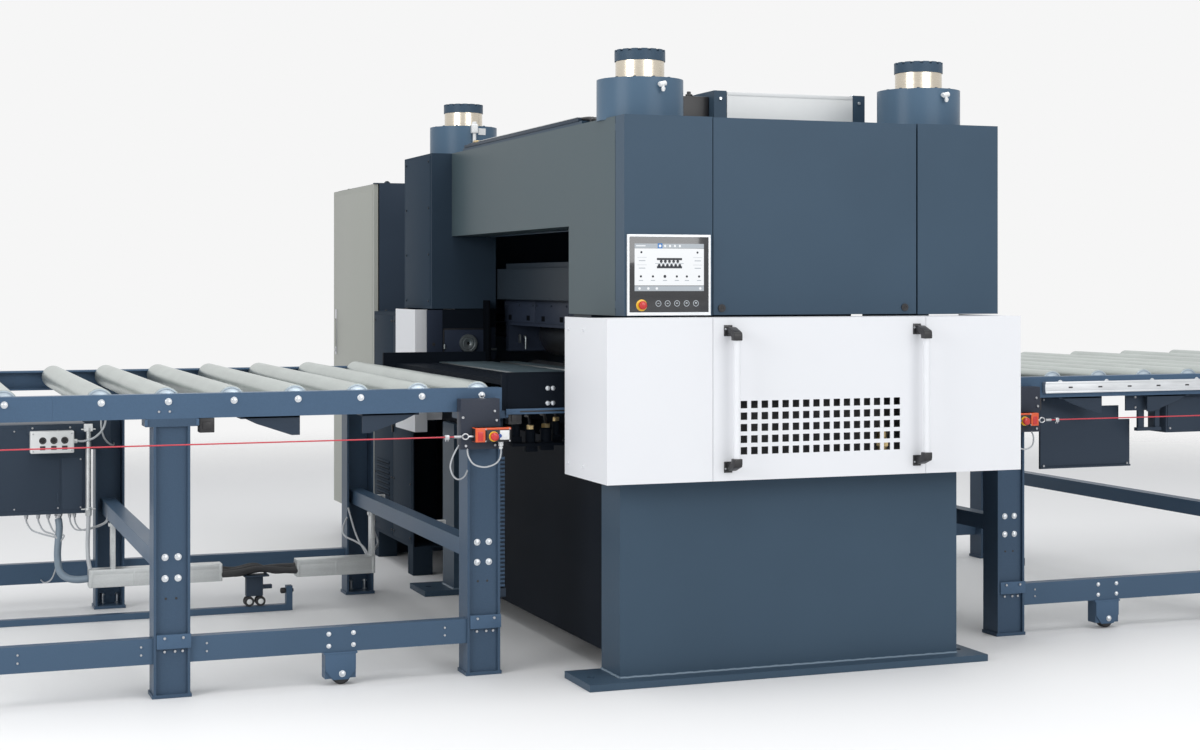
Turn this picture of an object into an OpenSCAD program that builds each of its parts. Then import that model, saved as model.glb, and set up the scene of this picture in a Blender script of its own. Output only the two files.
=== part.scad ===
// Plate leveling machine with its infeed and outfeed roller tables.
// X is the feed direction, the operator stands on the -Y side, Z is up.
// Sizes are measured from the infeed face, the front covers and the floor,
// and the whole machine is then moved so that its anchor pattern is centred.

/* [Housing] */
// Length of the upper housing along the feed
housing_l = 1730; // [1700:10:1900]
// Depth of the upper housing from front to back
housing_w = 3050; // [3000:10:3200]
// Height of the housing roof
housing_top = 2282; // [2260:2:2400]
// Height of the lower edge of the upper housing
housing_low = 1472; // [1460:2:1490]
// Depth of the front bay
front_bay = 666; // [650:2:690]
// Depth of the rear bay
rear_bay = 557; // [540:1:600]
// How far the rear bay stands out at both ends
rear_step = 108; // [60:1:140]
// Depth of the front covers
cover_d = 100; // [80:1:110]
// Thickness of the sheet panels
sheet = 6; // [4:1:8]
// Height of the top of the plate mouth
mouth_top = 1850; // [1830:1:1880]
// Width of the left front cover
cover_left_w = 387; // [385:1:420]
// Width of the right front cover
cover_right_w = 397; // [360:1:420]
// Gap beside the service flap
seam = 4; // [2:1:8]

/* [Foundation] */
// Length of each base plate
base_l = 1800; // [1700:10:1900]
// Width of each base plate
base_w = 300; // [260:2:320]
// Thickness of each base plate
base_t = 28; // [20:1:40]
// Distance between the anchor rows, front to back
anchor_span_y = 2450; // [2440:2:2460]
// Distance of the anchors from the base plate ends
anchor_inset = 60; // [50:1:80]
// Diameter of the anchor holes
anchor_hole = 32; // [24:1:40]
// Length of each pedestal
pedestal_l = 1538; // [1500:2:1600]
// Depth of each pedestal
pedestal_d = 209; // [180:1:220]
// Height of the top of the bed
bed_top = 920; // [900:1:940]
// Thickness of the bed table
bed_table = 40; // [30:1:60]
// Height of the underside of the bed
bed_low = 90; // [60:1:140]

/* [Rolls] */
// Height of the pass line
pass_z = 1200; // [1196:1:1204]
// Diameter of the levelling rolls
roll_d = 220; // [200:1:230]
// Pitch of the levelling rolls
roll_pitch = 260; // [250:1:264]
// Gap between the upper and the lower rolls
roll_gap = 25; // [21:1:60]
// Length of the roll barrels
barrel_l = 1720; // [1600:5:1730]
// Diameter of the roll journals
journal_d = 120; // [90:1:140]
// Radial clearance of journals and axles
run_fit = 0.05; // [0.02:0.01:0.1]

/* [Press] */
// Diameter of the lift cylinders
cylinder_d = 362; // [330:1:380]
// Height of the lift cylinders above the roof
cylinder_up = 165; // [120:1:200]
// Diameter of the piston rods
rod_d = 204; // [180:1:210]
// Visible length of the piston rods
rod_show = 78; // [60:1:120]
// Height of the castellated nuts
nut_h = 47; // [35:1:60]
// Distance of the front cylinders from the front
cylinder_y = 265; // [260:1:275]
// Distance of the cylinders from the infeed face
cylinder_x = 172; // [168:1:176]
// Distance of the rear cylinders from the back
cylinder_back = 185; // [184:1:200]
// Distance between the cylinders along the feed
cylinder_span = 1320; // [1312:1:1330]
// Length of the press beam along the feed
beam_l = 1164; // [1140:1:1168]
// Height of the press beam
beam_h = 158; // [140:1:180]
// Height of the underside of the press beam
beam_low = 1521; // [1515:1:1530]

/* [Guards] */
// Distance of the white guard front from the covers
guard_out = 207; // [180:1:230]
// Height of the white guards
guard_h = 647; // [620:1:660]
// How far the front guard overhangs the infeed face
guard_over = 152; // [120:1:170]
// Depth of the guard side wall
guard_side = 493; // [400:1:520]
// Thickness of the guard sheets
guard_t = 4; // [3:1:6]
// Length of the removable centre guard
centre_l = 958; // [930:1:970]
// Columns of ventilation holes
grille_cols = 16; // [8:1:18]
// Rows of ventilation holes
grille_rows = 5; // [3:1:7]
// Pitch of the ventilation holes
grille_pitch = 46; // [40:1:48]
// Size of the square ventilation holes
grille_hole = 30; // [20:1:34]
// Length of the guard handles
handle_l = 534; // [450:2:560]
// Diameter of the guard handles
handle_d = 28; // [22:1:34]

/* [Operator panel] */
// Width of the operator panel
panel_w = 364; // [340:1:366]
// Height of the operator panel
panel_h = 326; // [300:1:340]
// Thickness of the operator panel
panel_t = 12; // [8:1:20]
// Width of the screen
screen_w = 301; // [260:1:310]
// Height of the screen
screen_h = 176; // [150:1:190]
// Diameter of the stop button
stop_d = 34; // [28:1:40]

/* [Roller tables] */
// Width over the two table beams
table_w = 2300; // [2280:5:2400]
// Height of the table beams
table_beam_h = 95; // [85:1:110]
// Height of the top of the table beams
table_beam_top = 1175; // [1170:1:1180]
// Flange width of the table beams
table_flange = 60; // [50:1:80]
// Wall thickness of the table beams
table_wall = 8; // [6:1:10]
// Diameter of the table rollers
roller_d = 108; // [100:1:110]
// Pitch of the table rollers
roller_pitch = 252.5; // [245:0.5:255]
// Pitch of the rollers in the outfeed extension
wide_pitch = 354; // [340:1:360]
// Diameter of the roller axles
axle_d = 24; // [16:1:30]
// Length of one table section
section_l = 1780; // [1770:5:1800]
// Length of the outfeed extension
extension_l = 1370; // [1340:5:1500]
// Width of the legs
leg_w = 140; // [120:1:144]
// Depth of the legs
leg_d = 124; // [100:1:130]
// Distance between the legs of one section
leg_span = 1258; // [1240:2:1262]
// Height of the lower rails
rail_h = 99; // [80:1:110]
// Underside of the lower rails
rail_z = 133; // [128:1:140]
// Height of the cross ties
tie_h = 70; // [50:1:80]
// Underside of the cross ties
tie_z = 465; // [440:1:500]

/* [Cabinet] */
// Width of the control cabinet
cabinet_w = 1090; // [1000:10:1200]
// Depth of the control cabinet
cabinet_d = 600; // [500:10:700]
// Height of the control cabinet without plinth
cabinet_h = 2000; // [1900:10:2100]
// Height of the plinth
plinth_h = 200; // [150:5:220]
// Length of the drive bay behind the machine
drive_bay = 890; // [880:5:1000]

/* [Hidden] */
over = 1; // overrun of every cut
face = 0.3; // gap between faces of moving pieces
$fn = 48;

// Colours
slate = [0.27, 0.34, 0.41];
slate_dark = [0.16, 0.2, 0.27];
white_paint = [0.93, 0.93, 0.95];
zinc = [0.75, 0.78, 0.8];
black_plastic = [0.05, 0.05, 0.06];

// Centre of the anchor pattern seen from the infeed face and the covers
base_x0 = -187;
centre_x = base_x0 + base_l / 2;
anchor_y0 = 40;
centre_y = anchor_y0 + anchor_span_y / 2;

// Bays and mouth
rear_y = housing_w - rear_bay;
housing_y0 = cover_d + seam;
back_y = housing_w;
mid_x = cylinder_x + cylinder_span / 2;
beam_x0 = mid_x - beam_l / 2;
beam_x1 = mid_x + beam_l / 2;
rear_cyl_y = housing_w - cylinder_back;
rod_x = [cylinder_x, cylinder_x + cylinder_span];
rod_y = [cylinder_y, rear_cyl_y];
rear_x0 = -rear_step;
rear_x1 = housing_l + rear_step;

// Portal posts that guide the press beam
post_gap = 10;
post_l = 220;
post_d = 220;
post_x0 = beam_x0 - post_gap - post_l;
post_x1 = beam_x1 + post_gap;
post_front_y = front_bay - sheet - seam - post_d;
post_rear_y = rear_y + sheet + seam + 2 * seam;
crown_h = 44;
crown_z = housing_top - sheet - crown_h;

// Rolls
roll_r = roll_d / 2;
low_z = pass_z - roll_r;
high_z = pass_z + roll_gap + roll_r;
low_x = [for (i = [-1.5:1:1.5]) mid_x + i * roll_pitch];
high_x = [for (i = [-1:1:1]) mid_x + i * roll_pitch];
mouth_mid = (front_bay + rear_y) / 2;
barrel_y0 = mouth_mid - barrel_l / 2;
barrel_y1 = mouth_mid + barrel_l / 2;
chock_t = 60;
chock_gap = 8;
chock_front = barrel_y0 - chock_gap - chock_t;
chock_rear = barrel_y1 + chock_gap;
neck_end = 30;
gearbox_d = 300;
drive_free = 70;
gearbox_y = back_y + drive_bay - gearbox_d - drive_free;
spindle_d = 70;
cassette_base = 49;

// Yokes and beam heights
beam_top = beam_low + beam_h;
yoke_half = 85;
yoke_over = 80;
cassette_top = beam_low;
cassette_low = 1386;
cassette_edge = 50;
skirt_t = 12;
rod_top = housing_top + cylinder_up + rod_show;
nut_over = 4;

// Guards
guard_top = housing_low - sheet;
guard_low = guard_top - guard_h;
guard_x1 = housing_l - 3 * sheet;
guard_y = -guard_out;
centre_x0 = 297;
centre_x1 = centre_x0 + centre_l;
guard_seam = 2;
grip_out = 62;
grip_inset = 68;
grip_arm = 30;
lip = 30;

// Operator panel
panel_x = 8;
panel_z = housing_low + seam / 2;
screen_edge = 31;
screen_set = 1;
stop_x = 69;
stop_z = 1515;
stop_out = 26;
stop_stem = 10;
stop_travel = 5;

// Tables
near_y = 360;
far_y = near_y + table_w;
entry_x = -400;
exit_x = 1950;
beam_z = table_beam_top - table_beam_h;
axle_z = pass_z - roller_d / 2;
first_roller = 86;
infeed_x = [for (i = [0:6]) entry_x - first_roller - i * roller_pitch];
outfeed_x = [for (i = [0:6]) exit_x + first_roller + i * roller_pitch];
stub_l = 320;
stub_x = infeed_x[6] - wide_pitch;
ext_x0 = exit_x + section_l + face;
wide_x = [for (i = [0:3]) outfeed_x[6] + (i + 1) * wide_pitch];
in_x0 = entry_x - section_l;
leg_off = 77;
infeed_legs = [entry_x - leg_off, entry_x - leg_off - leg_span];
outfeed_legs = [exit_x + leg_off, exit_x + leg_off + leg_span];
end_leg = ext_x0 + extension_l - leg_off;
leg_sheet = 10;
web_set = 14;
foot_t = 14;
foot_over = 6;
clamp_w = 165;
clamp_t = 18;
head_t = 31;
head_w = 200;

// A box between two corners
module span(x, y, z) {
    translate([x[0], y[0], z[0]]) cube([x[1] - x[0], y[1] - y[0], z[1] - z[0]]);
}

// Round bars along each axis
module bar_z(r, z) { translate([0, 0, z[0]]) cylinder(r = r, h = z[1] - z[0]); }
module bar_y(r, y) { translate([0, y[1], 0]) rotate([90, 0, 0]) cylinder(r = r, h = y[1] - y[0]); }
module bar_x(r, x) { translate([x[0], 0, 0]) rotate([0, 90, 0]) cylinder(r = r, h = x[1] - x[0]); }

// Everything is placed from the centre of the anchor pattern
module placed() { translate([-centre_x, -centre_y, 0]) children(); }

module base_plates() color(slate) placed()
    for (y = [anchor_y0, anchor_y0 + anchor_span_y]) difference() {
        span([base_x0, base_x0 + base_l], [y - base_w / 2, y + base_w / 2], [0, base_t]);
        for (x = [base_x0 + anchor_inset, base_x0 + base_l - anchor_inset])
            translate([x, y, 0]) bar_z(anchor_hole / 2, [-over, base_t + over]);
    }

pedestal_x0 = -30;
pedestal_y0 = -29;
pedestal_rear = 2 * centre_y - pedestal_y0 - pedestal_d;
bed_x0 = 0;
bed_x1 = 1478;
bed_plate_x1 = 1680;

module pedestals() color(slate) placed()
    for (y = [pedestal_y0, pedestal_rear])
        span([pedestal_x0, pedestal_x0 + pedestal_l], [y, y + pedestal_d],
            [base_t, bed_top - bed_table]);

module bed() color(slate_dark) placed() union() {
    span([bed_x0, bed_x1], [pedestal_y0 + pedestal_d, pedestal_rear], [bed_low, bed_top - bed_table]);
    span([bed_x0, bed_plate_x1], [0, back_y], [bed_top - bed_table, bed_top]);
}

module crown(y) difference() {
    span([post_x0, bed_plate_x1], y, [crown_z, crown_z + crown_h]);
    for (x = rod_x, c = rod_y) translate([x, c, 0])
        bar_z(rod_d / 2 + seam, [crown_z - over, crown_z + crown_h + over]);
}

module side_frames() color(slate_dark) placed() {
    for (x = [post_x0, post_x1], y = [post_front_y, post_rear_y])
        span([x, x + post_l], [y, y + post_d], [bed_top, crown_z]);
    crown([housing_y0 + sheet, front_bay - sheet - seam]);
    crown([rear_y + sheet + seam, back_y - sheet - seam]);
}

module lift_cylinders() color(slate) placed()
    for (x = rod_x, y = rod_y) translate([x, y, 0]) difference() {
        bar_z(cylinder_d / 2, [crown_z + crown_h, housing_top + cylinder_up]);
        bar_z(rod_d / 2 + seam, [crown_z + crown_h - over, housing_top + cylinder_up + over]);
    }

// A roof panel with round openings for the lift cylinders
module roof(x, y, holes) difference() {
    span(x, y, [housing_top - sheet, housing_top]);
    for (cx = rod_x, cy = holes) translate([cx, cy, 0])
        bar_z(cylinder_d / 2 + face, [housing_top - sheet - over, housing_top + over]);
}

module front_housing() color(slate) placed() {
    roof([0, housing_l], [housing_y0, front_bay], [cylinder_y]);
    for (x = [0, housing_l - sheet])
        span([x, x + sheet], [housing_y0, front_bay], [housing_low, housing_top - sheet]);
    for (x = [[sheet, beam_x0 - post_gap], [post_x1, housing_l - sheet]])
        span(x, [front_bay - sheet, front_bay], [housing_low, housing_top - sheet]);
}

soffit_w = 190;

module top_beam() color(slate) placed() {
    roof([0, housing_l], [front_bay, rear_y], []);
    for (x = [0, housing_l - sheet])
        span([x, x + sheet], [front_bay, rear_y], [mouth_top, housing_top - sheet]);
    for (x = [[sheet, soffit_w], [housing_l - soffit_w, housing_l - sheet]])
        span(x, [front_bay, rear_y], [mouth_top, mouth_top + sheet]);
    for (x = [soffit_w - sheet, housing_l - soffit_w])
        span([x, x + sheet], [front_bay, rear_y], [mouth_top + sheet, housing_top - sheet]);
}

module rear_housing() color(slate) placed() {
    roof([rear_x0, rear_x1], [rear_y, back_y], [rear_cyl_y]);
    for (x = [rear_x0, rear_x1 - sheet])
        span([x, x + sheet], [rear_y, back_y], [housing_low, housing_top - sheet]);
    for (x = [[rear_x0 + sheet, beam_x0 - post_gap], [post_x1, rear_x1 - sheet]])
        span(x, [rear_y, rear_y + sheet], [housing_low, housing_top - sheet]);
    span([rear_x0 + sheet, rear_x1 - sheet], [back_y - sheet, back_y],
        [housing_low, housing_top - sheet]);
}

cover_right_x = housing_l - cover_right_w;

// A folded cover: a front sheet and three returns
module folded_cover(x, edge) difference() {
    union() {
        difference() {
            span(x, [0, cover_d], [housing_low, housing_top]);
            span([x[0] + sheet, x[1] - sheet], [sheet, cover_d + over],
                [housing_low + sheet, housing_top - sheet]);
        }
        for (z = [housing_low + pad_h, housing_top - 2 * pad_h])
            span([edge, edge + sheet], [cover_d - pad_h, housing_y0], [z, z + pad_h]);
    }
    translate([0, hinge_y, hinge_z]) bar_x(hinge_r + run_fit, [flap_x[0] - pad_h, flap_x[1] + pad_h]);
    for (c = rod_x) translate([c, cylinder_y, 0])
        bar_z(cylinder_d / 2 + face, [housing_top - sheet - over, housing_top + over]);
}

module front_covers() color(slate) placed() {
    folded_cover([0, cover_left_w - seam / 2], 0);
    folded_cover([cover_right_x + seam, housing_l], housing_l - sheet);
}

pad_h = 30;
flap_x = [cover_left_w + seam / 2, cover_right_x - seam];
flap_top = housing_top - seam / 2;
flap_low = housing_low + seam / 2;
hinge_y = 18;
hinge_z = housing_top - hinge_y;
hinge_r = 8;
lock_r = 16;
lock_inset = 37;
lock_z = flap_low + 28;
lock_inset_right = 55.5;
lock_x = [flap_x[0] + lock_inset, flap_x[1] - lock_inset_right];

module service_flap() color(slate) placed() union() {
    difference() {
        span(flap_x, [0, cover_d - seam], [flap_low, flap_top]);
        span([flap_x[0] + sheet, flap_x[1] - sheet], [sheet, cover_d + over],
            [flap_low - over, flap_top - sheet]);
        for (x = lock_x) translate([x, 0, lock_z]) bar_y(lock_r / 2 + run_fit, [-over, sheet + over]);
    }
    translate([0, hinge_y, hinge_z])
        bar_x(hinge_r, [flap_x[0] - seam - sheet, flap_x[1] + seam + sheet]);
}

lock_head = 5;
lock_tongue = [14, 3, 40];

module lock(x) color(black_plastic) placed() translate([x, 0, lock_z]) union() {
    bar_y(lock_r, [-lock_head - face, -face]);
    bar_y(lock_r / 2, [-face - lock_head / 2, sheet + lock_tongue[1]]);
    translate([-lock_tongue[0] / 2, sheet + face, -lock_r / 2]) cube(lock_tongue);
}

module lock_left() lock(lock_x[0]);
module lock_right() lock(lock_x[1]);

// One bent guard: front wall, side wall and top flange
module bent_guard(x, wall_x, arm_x) union() {
    span(x, [guard_y, guard_y + guard_t], [guard_low, guard_top]);
    span([wall_x, wall_x + guard_t], [guard_y, guard_y + guard_side], [guard_low, guard_top]);
    span(x, [guard_y, -seam], [guard_top - guard_t, guard_top]);
    span(arm_x, [guard_arm_y, guard_arm_y + arm_w], [bed_top - bed_table, bed_top]);
}

arm_w = 30;
guard_arm_y = 200;

rear_hold = 81;
rear_guard_d = 410;
rear_sheet_w = 66;
rear_guard_y0 = post_rear_y + post_d - rear_hold;
rear_guard_y = [rear_guard_y0, rear_guard_y0 + rear_guard_d];

module rear_guard(x, wall_x, arm_x) union() {
    span(x, [rear_guard_y[0], rear_guard_y[0] + guard_t], [guard_low, guard_top]);
    span([wall_x, wall_x + guard_t], rear_guard_y, [guard_low, guard_top]);
    span(arm_x, [rear_guard_y[0] + arm_w, rear_guard_y[0] + 2 * arm_w], [bed_top - bed_table, bed_top]);
}

module fixed_guards() color(white_paint) placed() {
    bent_guard([-guard_over, centre_x0 - guard_seam], -guard_over, [-guard_over, bed_x0]);
    bent_guard([centre_x1 + guard_seam, guard_x1], guard_x1 - guard_t, [bed_plate_x1, guard_x1]);
    left_x = -guard_over - guard_t;
    right_x = rear_x1 + guard_out - guard_over;
    rear_guard([left_x, left_x + rear_sheet_w], left_x, [left_x, bed_x0]);
    rear_guard([right_x - rear_sheet_w, right_x], right_x - guard_t, [bed_plate_x1, right_x]);
}

grille_w = (grille_cols - 1) * grille_pitch;
grille_x = (centre_x0 + centre_x1) / 2 - grille_w / 2;
grille_low = 117;
grille_z = guard_low + grille_low;

module centre_guard() color(white_paint) placed() difference() {
    union() {
        span([centre_x0, centre_x1], [guard_y, guard_y + guard_t], [guard_low, guard_top]);
        for (x = [centre_x0, centre_x1 - guard_t])
            span([x, x + guard_t], [guard_y, guard_y + lip], [guard_low, guard_top]);
        span([centre_x0, centre_x1], [guard_y, -seam], [guard_top - guard_t, guard_top]);
        for (x = [centre_x0, centre_x1 - arm_w])
            span([x, x + arm_w], [guard_y, -face], [bed_top - arm_w, bed_top]);
    }
    for (i = [0:grille_cols - 1], j = [0:grille_rows - 1])
        translate([grille_x + i * grille_pitch, guard_y, grille_z + j * grille_pitch])
            span([-grille_hole / 2, grille_hole / 2], [-over, guard_t + over],
                [-grille_hole / 2, grille_hole / 2]);
}

handle_mid = guard_low + guard_h / 2 + 2;

module guard_handles() color(black_plastic) placed()
    for (x = [centre_x0 + grip_inset, centre_x1 - grip_inset + grip_arm]) translate([x, 0, handle_mid])
        union() {
            translate([0, guard_y - grip_out, 0]) bar_z(handle_d / 2, [-handle_l / 2, handle_l / 2]);
            for (s = [-1, 1]) translate([0, 0, s * handle_l / 2])
                span([-grip_arm / 2, grip_arm / 2], [guard_y - grip_out - grip_arm / 2, guard_y],
                    [-grip_arm / 2, grip_arm / 2]);
        }

module hmi_panel() color(black_plastic) placed() difference() {
    span([panel_x, panel_x + panel_w], [-panel_t, 0], [panel_z, panel_z + panel_h]);
    translate([panel_x + (panel_w - screen_w) / 2, -panel_t, panel_z + panel_h - screen_edge - screen_h])
        span([0, screen_w], [-over, screen_set], [0, screen_h]);
    translate([stop_x, 0, stop_z]) bar_y(stop_stem + run_fit, [-panel_t - over, over]);
}

module hmi_stop() color("red") placed() translate([stop_x, -panel_t, stop_z]) union() {
    bar_y(stop_stem, [-stop_out + stop_stem, panel_t - stop_travel - face]);
    bar_y(stop_d / 2, [-stop_out, -stop_out + stop_stem * 2 - seam]);
}

roof_y = [560, 900];
roof_block = [480, 640];
roof_post = 60;
roof_panel_l = 625;
roof_unit_h = 170;
tray_x = [60, 200];
tray_h = 28;

module roof_unit() color(slate) placed() {
    span(roof_block, [roof_y[0] + roof_post, roof_y[1]], [housing_top, housing_top + roof_unit_h - tray_h]);
    for (x = [roof_block[1], roof_block[1] + roof_post + roof_panel_l])
        span([x, x + roof_post], roof_y, [housing_top, housing_top + roof_unit_h]);
    span([roof_block[1] + roof_post, roof_block[1] + roof_post + roof_panel_l],
        [roof_y[0] + sheet, roof_y[1]], [housing_top, housing_top + roof_unit_h - sheet]);
    span(tray_x, [front_bay, rear_y], [housing_top, housing_top + tray_h]);
}

module lower_cassette() color(slate_dark) placed() {
    difference() {
        union() {
            span([beam_x0 + cassette_edge, beam_x1 - cassette_edge], [chock_front, chock_rear + chock_t],
                [bed_top, bed_top + cassette_base]);
            for (y = [chock_front, chock_rear])
                span([beam_x0 + cassette_edge, beam_x1 - cassette_edge], [y, y + chock_t],
                    [bed_top, pass_z - cassette_edge / 2]);
        }
        for (x = low_x) translate([x, 0, low_z])
            bar_y(journal_d / 2 + run_fit, [chock_front - over, chock_rear + chock_t + over]);
    }
}

module lower_roll(i) color(zinc) placed() translate([low_x[i], 0, low_z]) union() {
    bar_y(roll_r, [barrel_y0, barrel_y1]);
    bar_y(journal_d / 2, [chock_front - neck_end, chock_rear + chock_t + neck_end]);
    bar_y(spindle_d / 2, [chock_rear, gearbox_y - face]);
}

module upper_roll(i) color(zinc) placed() translate([high_x[i], 0, high_z]) union() {
    bar_y(roll_r, [barrel_y0, barrel_y1]);
    bar_y(journal_d / 2, [chock_front - neck_end, chock_rear + chock_t + neck_end]);
    bar_y(spindle_d / 2, [chock_rear, gearbox_y - face]);
}

module lower_roll_1() lower_roll(0);
module lower_roll_2() lower_roll(1);
module lower_roll_3() lower_roll(2);
module lower_roll_4() lower_roll(3);
module upper_roll_1() upper_roll(0);
module upper_roll_2() upper_roll(1);
module upper_roll_3() upper_roll(2);

module upper_carrier() color(slate) placed() {
    span([beam_x0, beam_x1], [cylinder_y + yoke_half, rear_cyl_y - yoke_half], [beam_low, beam_top]);
    for (y = rod_y)
        span([cylinder_x - yoke_over, cylinder_x + cylinder_span + yoke_over],
            [y - yoke_half, y + yoke_half], [beam_low, beam_top]);
}

module piston_rods() color([0.72, 0.66, 0.52]) placed()
    for (x = rod_x, y = rod_y) translate([x, y, 0]) bar_z(rod_d / 2, [beam_top, rod_top]);

slot_count = 16;
slot_w = 16;
slot_h = 10;

module rod_nuts() color(slate) placed()
    for (x = rod_x, y = rod_y) translate([x, y, rod_top]) difference() {
        cylinder(r = rod_d / 2 + nut_over, h = nut_h);
        for (a = [0:slot_count - 1]) rotate([0, 0, a * 360 / slot_count])
            translate([rod_d / 2 - slot_w / 2, -slot_w / 2, nut_h - slot_h])
                cube([slot_w + nut_over, slot_w, slot_h + over]);
    }

strip_hole = 26;
strip_count = 7;

module upper_cassette() color(slate_dark) placed() {
    x = [beam_x0 + cassette_edge, beam_x1 - cassette_edge];
    difference() {
        for (y = [chock_front, chock_rear])
            span(x, [y, y + chock_t], [pass_z + roll_gap + cassette_edge / 2, cassette_top]);
        for (c = high_x) translate([c, 0, high_z])
            bar_y(journal_d / 2 + run_fit, [chock_front - over, chock_rear + chock_t + over]);
    }
    span(x, [chock_front + chock_t, chock_rear], [cassette_top - cassette_edge, cassette_top]);
    for (s = [x[0], x[1] - skirt_t])
        span([s, s + skirt_t], [chock_front + chock_t, chock_rear],
            [cassette_low, cassette_top - cassette_edge]);
}

motor_d = 340;
motor_l = 520;
drive_z = [150, 1440];
drive_x = [-60, 1560];
motor_z = 640;

module drive_train() color(slate_dark) placed() {
    span([beam_x0, beam_x1], [gearbox_y, gearbox_y + gearbox_d], [bed_top, cassette_low]);
    span([beam_x0 + cassette_edge, beam_x1 - cassette_edge], [gearbox_y, gearbox_y + gearbox_d],
        [drive_z[0] + sheet, bed_top]);
    translate([mid_x, 0, motor_z]) bar_y(motor_d / 2, [gearbox_y - motor_l, gearbox_y]);
}

module drive_housing() color(slate_dark) placed() {
    y = [back_y + face, back_y + drive_bay];
    for (x = [drive_x[0], drive_x[1] - sheet]) span([x, x + sheet], y, drive_z);
    for (z = [drive_z[0], drive_z[1] - sheet])
        span([drive_x[0] + sheet, drive_x[1] - sheet], y, [z, z + sheet]);
    for (x = [drive_x[0], drive_x[1] - post_l / 2], c = [y[0], y[1] - post_l / 2])
        span([x, x + post_l / 2], [c, c + post_l / 2], [0, drive_z[0]]);
}

cab_x = -60;
cab_y = back_y + drive_bay + face;
door_t = 24;

door_gap = 6;
pin_r = 6;
pin_at = door_t / 2;
pin_in = 18;
lug_t = 6;

// A hinge lug of the cabinet with the bore for the door pin
module lug(z) difference() {
    span([cab_x, cab_x + door_t + door_gap], [cab_y, cab_y + 2 * pin_in], [z, z + lug_t]);
    translate([cab_x + pin_at, cab_y + pin_in, 0]) bar_z(pin_r + run_fit, [z - over, z + lug_t + over]);
}

module cabinet() color(slate_dark) placed() {
    x = [cab_x + door_t + door_gap, cab_x + cabinet_d];
    for (c = [plinth_h, plinth_h + cabinet_h - lug_t]) lug(c);
    y = [cab_y, cab_y + cabinet_w];
    z = [plinth_h, plinth_h + cabinet_h];
    span([x[1] - sheet, x[1]], y, z);
    for (c = [y[0], y[1] - sheet]) span([x[0], x[1] - sheet], [c, c + sheet], z);
    for (c = [z[0], z[1] - sheet]) span([x[0], x[1] - sheet], [y[0] + sheet, y[1] - sheet], [c, c + sheet]);
    span([x[1] - 4 * sheet, x[1] - 3 * sheet], [y[0] + sheet, y[1] - sheet], [z[0] + sheet, z[1] - sheet]);
    span([x[0] + door_t, x[1] - door_t], [y[0] + door_t, y[1] - door_t], [0, plinth_h]);
}

catch_w = 30;
catch_h = 180;

module cabinet_door() color([0.55, 0.56, 0.52]) placed() union() {
    span([cab_x, cab_x + door_t], [cab_y + pin_in - pin_at, cab_y + cabinet_w],
        [plinth_h + lug_t + seam / 2, plinth_h + cabinet_h - lug_t - seam / 2]);
    translate([cab_x + pin_at, cab_y + pin_in, 0]) bar_z(pin_r, [plinth_h, plinth_h + cabinet_h]);
    span([cab_x - door_t / 2, cab_x], [cab_y + cabinet_w - 3 * catch_w, cab_y + cabinet_w - 2 * catch_w],
        [plinth_h + cabinet_h / 2, plinth_h + cabinet_h / 2 + catch_h]);
}

// A table roller with its two axle journals
module table_roller(x) translate([x, 0, axle_z]) union() {
    bar_y(roller_d / 2, [near_y + table_flange + seam, far_y - table_flange - seam]);
    bar_y(axle_d / 2, [near_y, far_y]);
}

module infeed_roller(i) color(zinc) placed() table_roller(infeed_x[i]);
module outfeed_roller(i) color(zinc) placed() table_roller(outfeed_x[i]);
module infeed_roller_1() infeed_roller(0);
module infeed_roller_2() infeed_roller(1);
module infeed_roller_3() infeed_roller(2);
module infeed_roller_4() infeed_roller(3);
module infeed_roller_5() infeed_roller(4);
module infeed_roller_6() infeed_roller(5);
module infeed_roller_7() infeed_roller(6);
module outfeed_roller_1() outfeed_roller(0);
module outfeed_roller_2() outfeed_roller(1);
module outfeed_roller_3() outfeed_roller(2);
module outfeed_roller_4() outfeed_roller(3);
module outfeed_roller_5() outfeed_roller(4);
module outfeed_roller_6() outfeed_roller(5);
module outfeed_roller_7() outfeed_roller(6);

module extension_rollers() color(zinc) placed()
    for (x = concat([stub_x], wide_x)) table_roller(x);

// A channel beam with its bores for the roller axles
module channel(x, side, bores) difference() {
    y = side > 0 ? [far_y - table_flange, far_y] : [near_y, near_y + table_flange];
    hollow = side > 0 ? [y[0] - over, y[1] - table_wall] : [y[0] + table_wall, y[1] + over];
    span(x, y, [beam_z, table_beam_top]);
    span([x[0] - over, x[1] + over], hollow, [beam_z + table_wall, table_beam_top - table_wall]);
    for (c = bores) translate([c, 0, axle_z])
        bar_y(axle_d / 2 + run_fit, [near_y - over, far_y + over]);
}

module table_beams() color(slate) placed()
    for (s = [-1, 1]) {
        channel([in_x0, entry_x], s, infeed_x);
        channel([in_x0 - face - stub_l, in_x0 - face], s, [stub_x]);
        channel([exit_x, exit_x + section_l], s, outfeed_x);
        channel([ext_x0, ext_x0 + extension_l], s, wide_x);
    }

// An upright that is open to the outside, with its head, clamp and foot plates
module leg(x, side) {
    y0 = side > 0 ? far_y - leg_d : near_y;
    web = side > 0 ? [far_y - web_set - leg_sheet, far_y - web_set] : [near_y + web_set, near_y + web_set + leg_sheet];
    translate([x, 0, 0]) union() {
        for (s = [-leg_w / 2, leg_w / 2 - leg_sheet])
            span([s, s + leg_sheet], [y0, y0 + leg_d], [foot_t, beam_z - head_t]);
        span([-leg_w / 2 + leg_sheet, leg_w / 2 - leg_sheet], web, [foot_t, beam_z - head_t]);
        span([-leg_w / 2 - foot_over, leg_w / 2 + foot_over], [y0, y0 + leg_d], [0, foot_t]);
        span([-head_w / 2, head_w / 2], [y0, y0 + leg_d], [beam_z - head_t, beam_z]);
    }
}

leg_pairs = concat(infeed_legs, outfeed_legs, [end_leg]);

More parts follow.
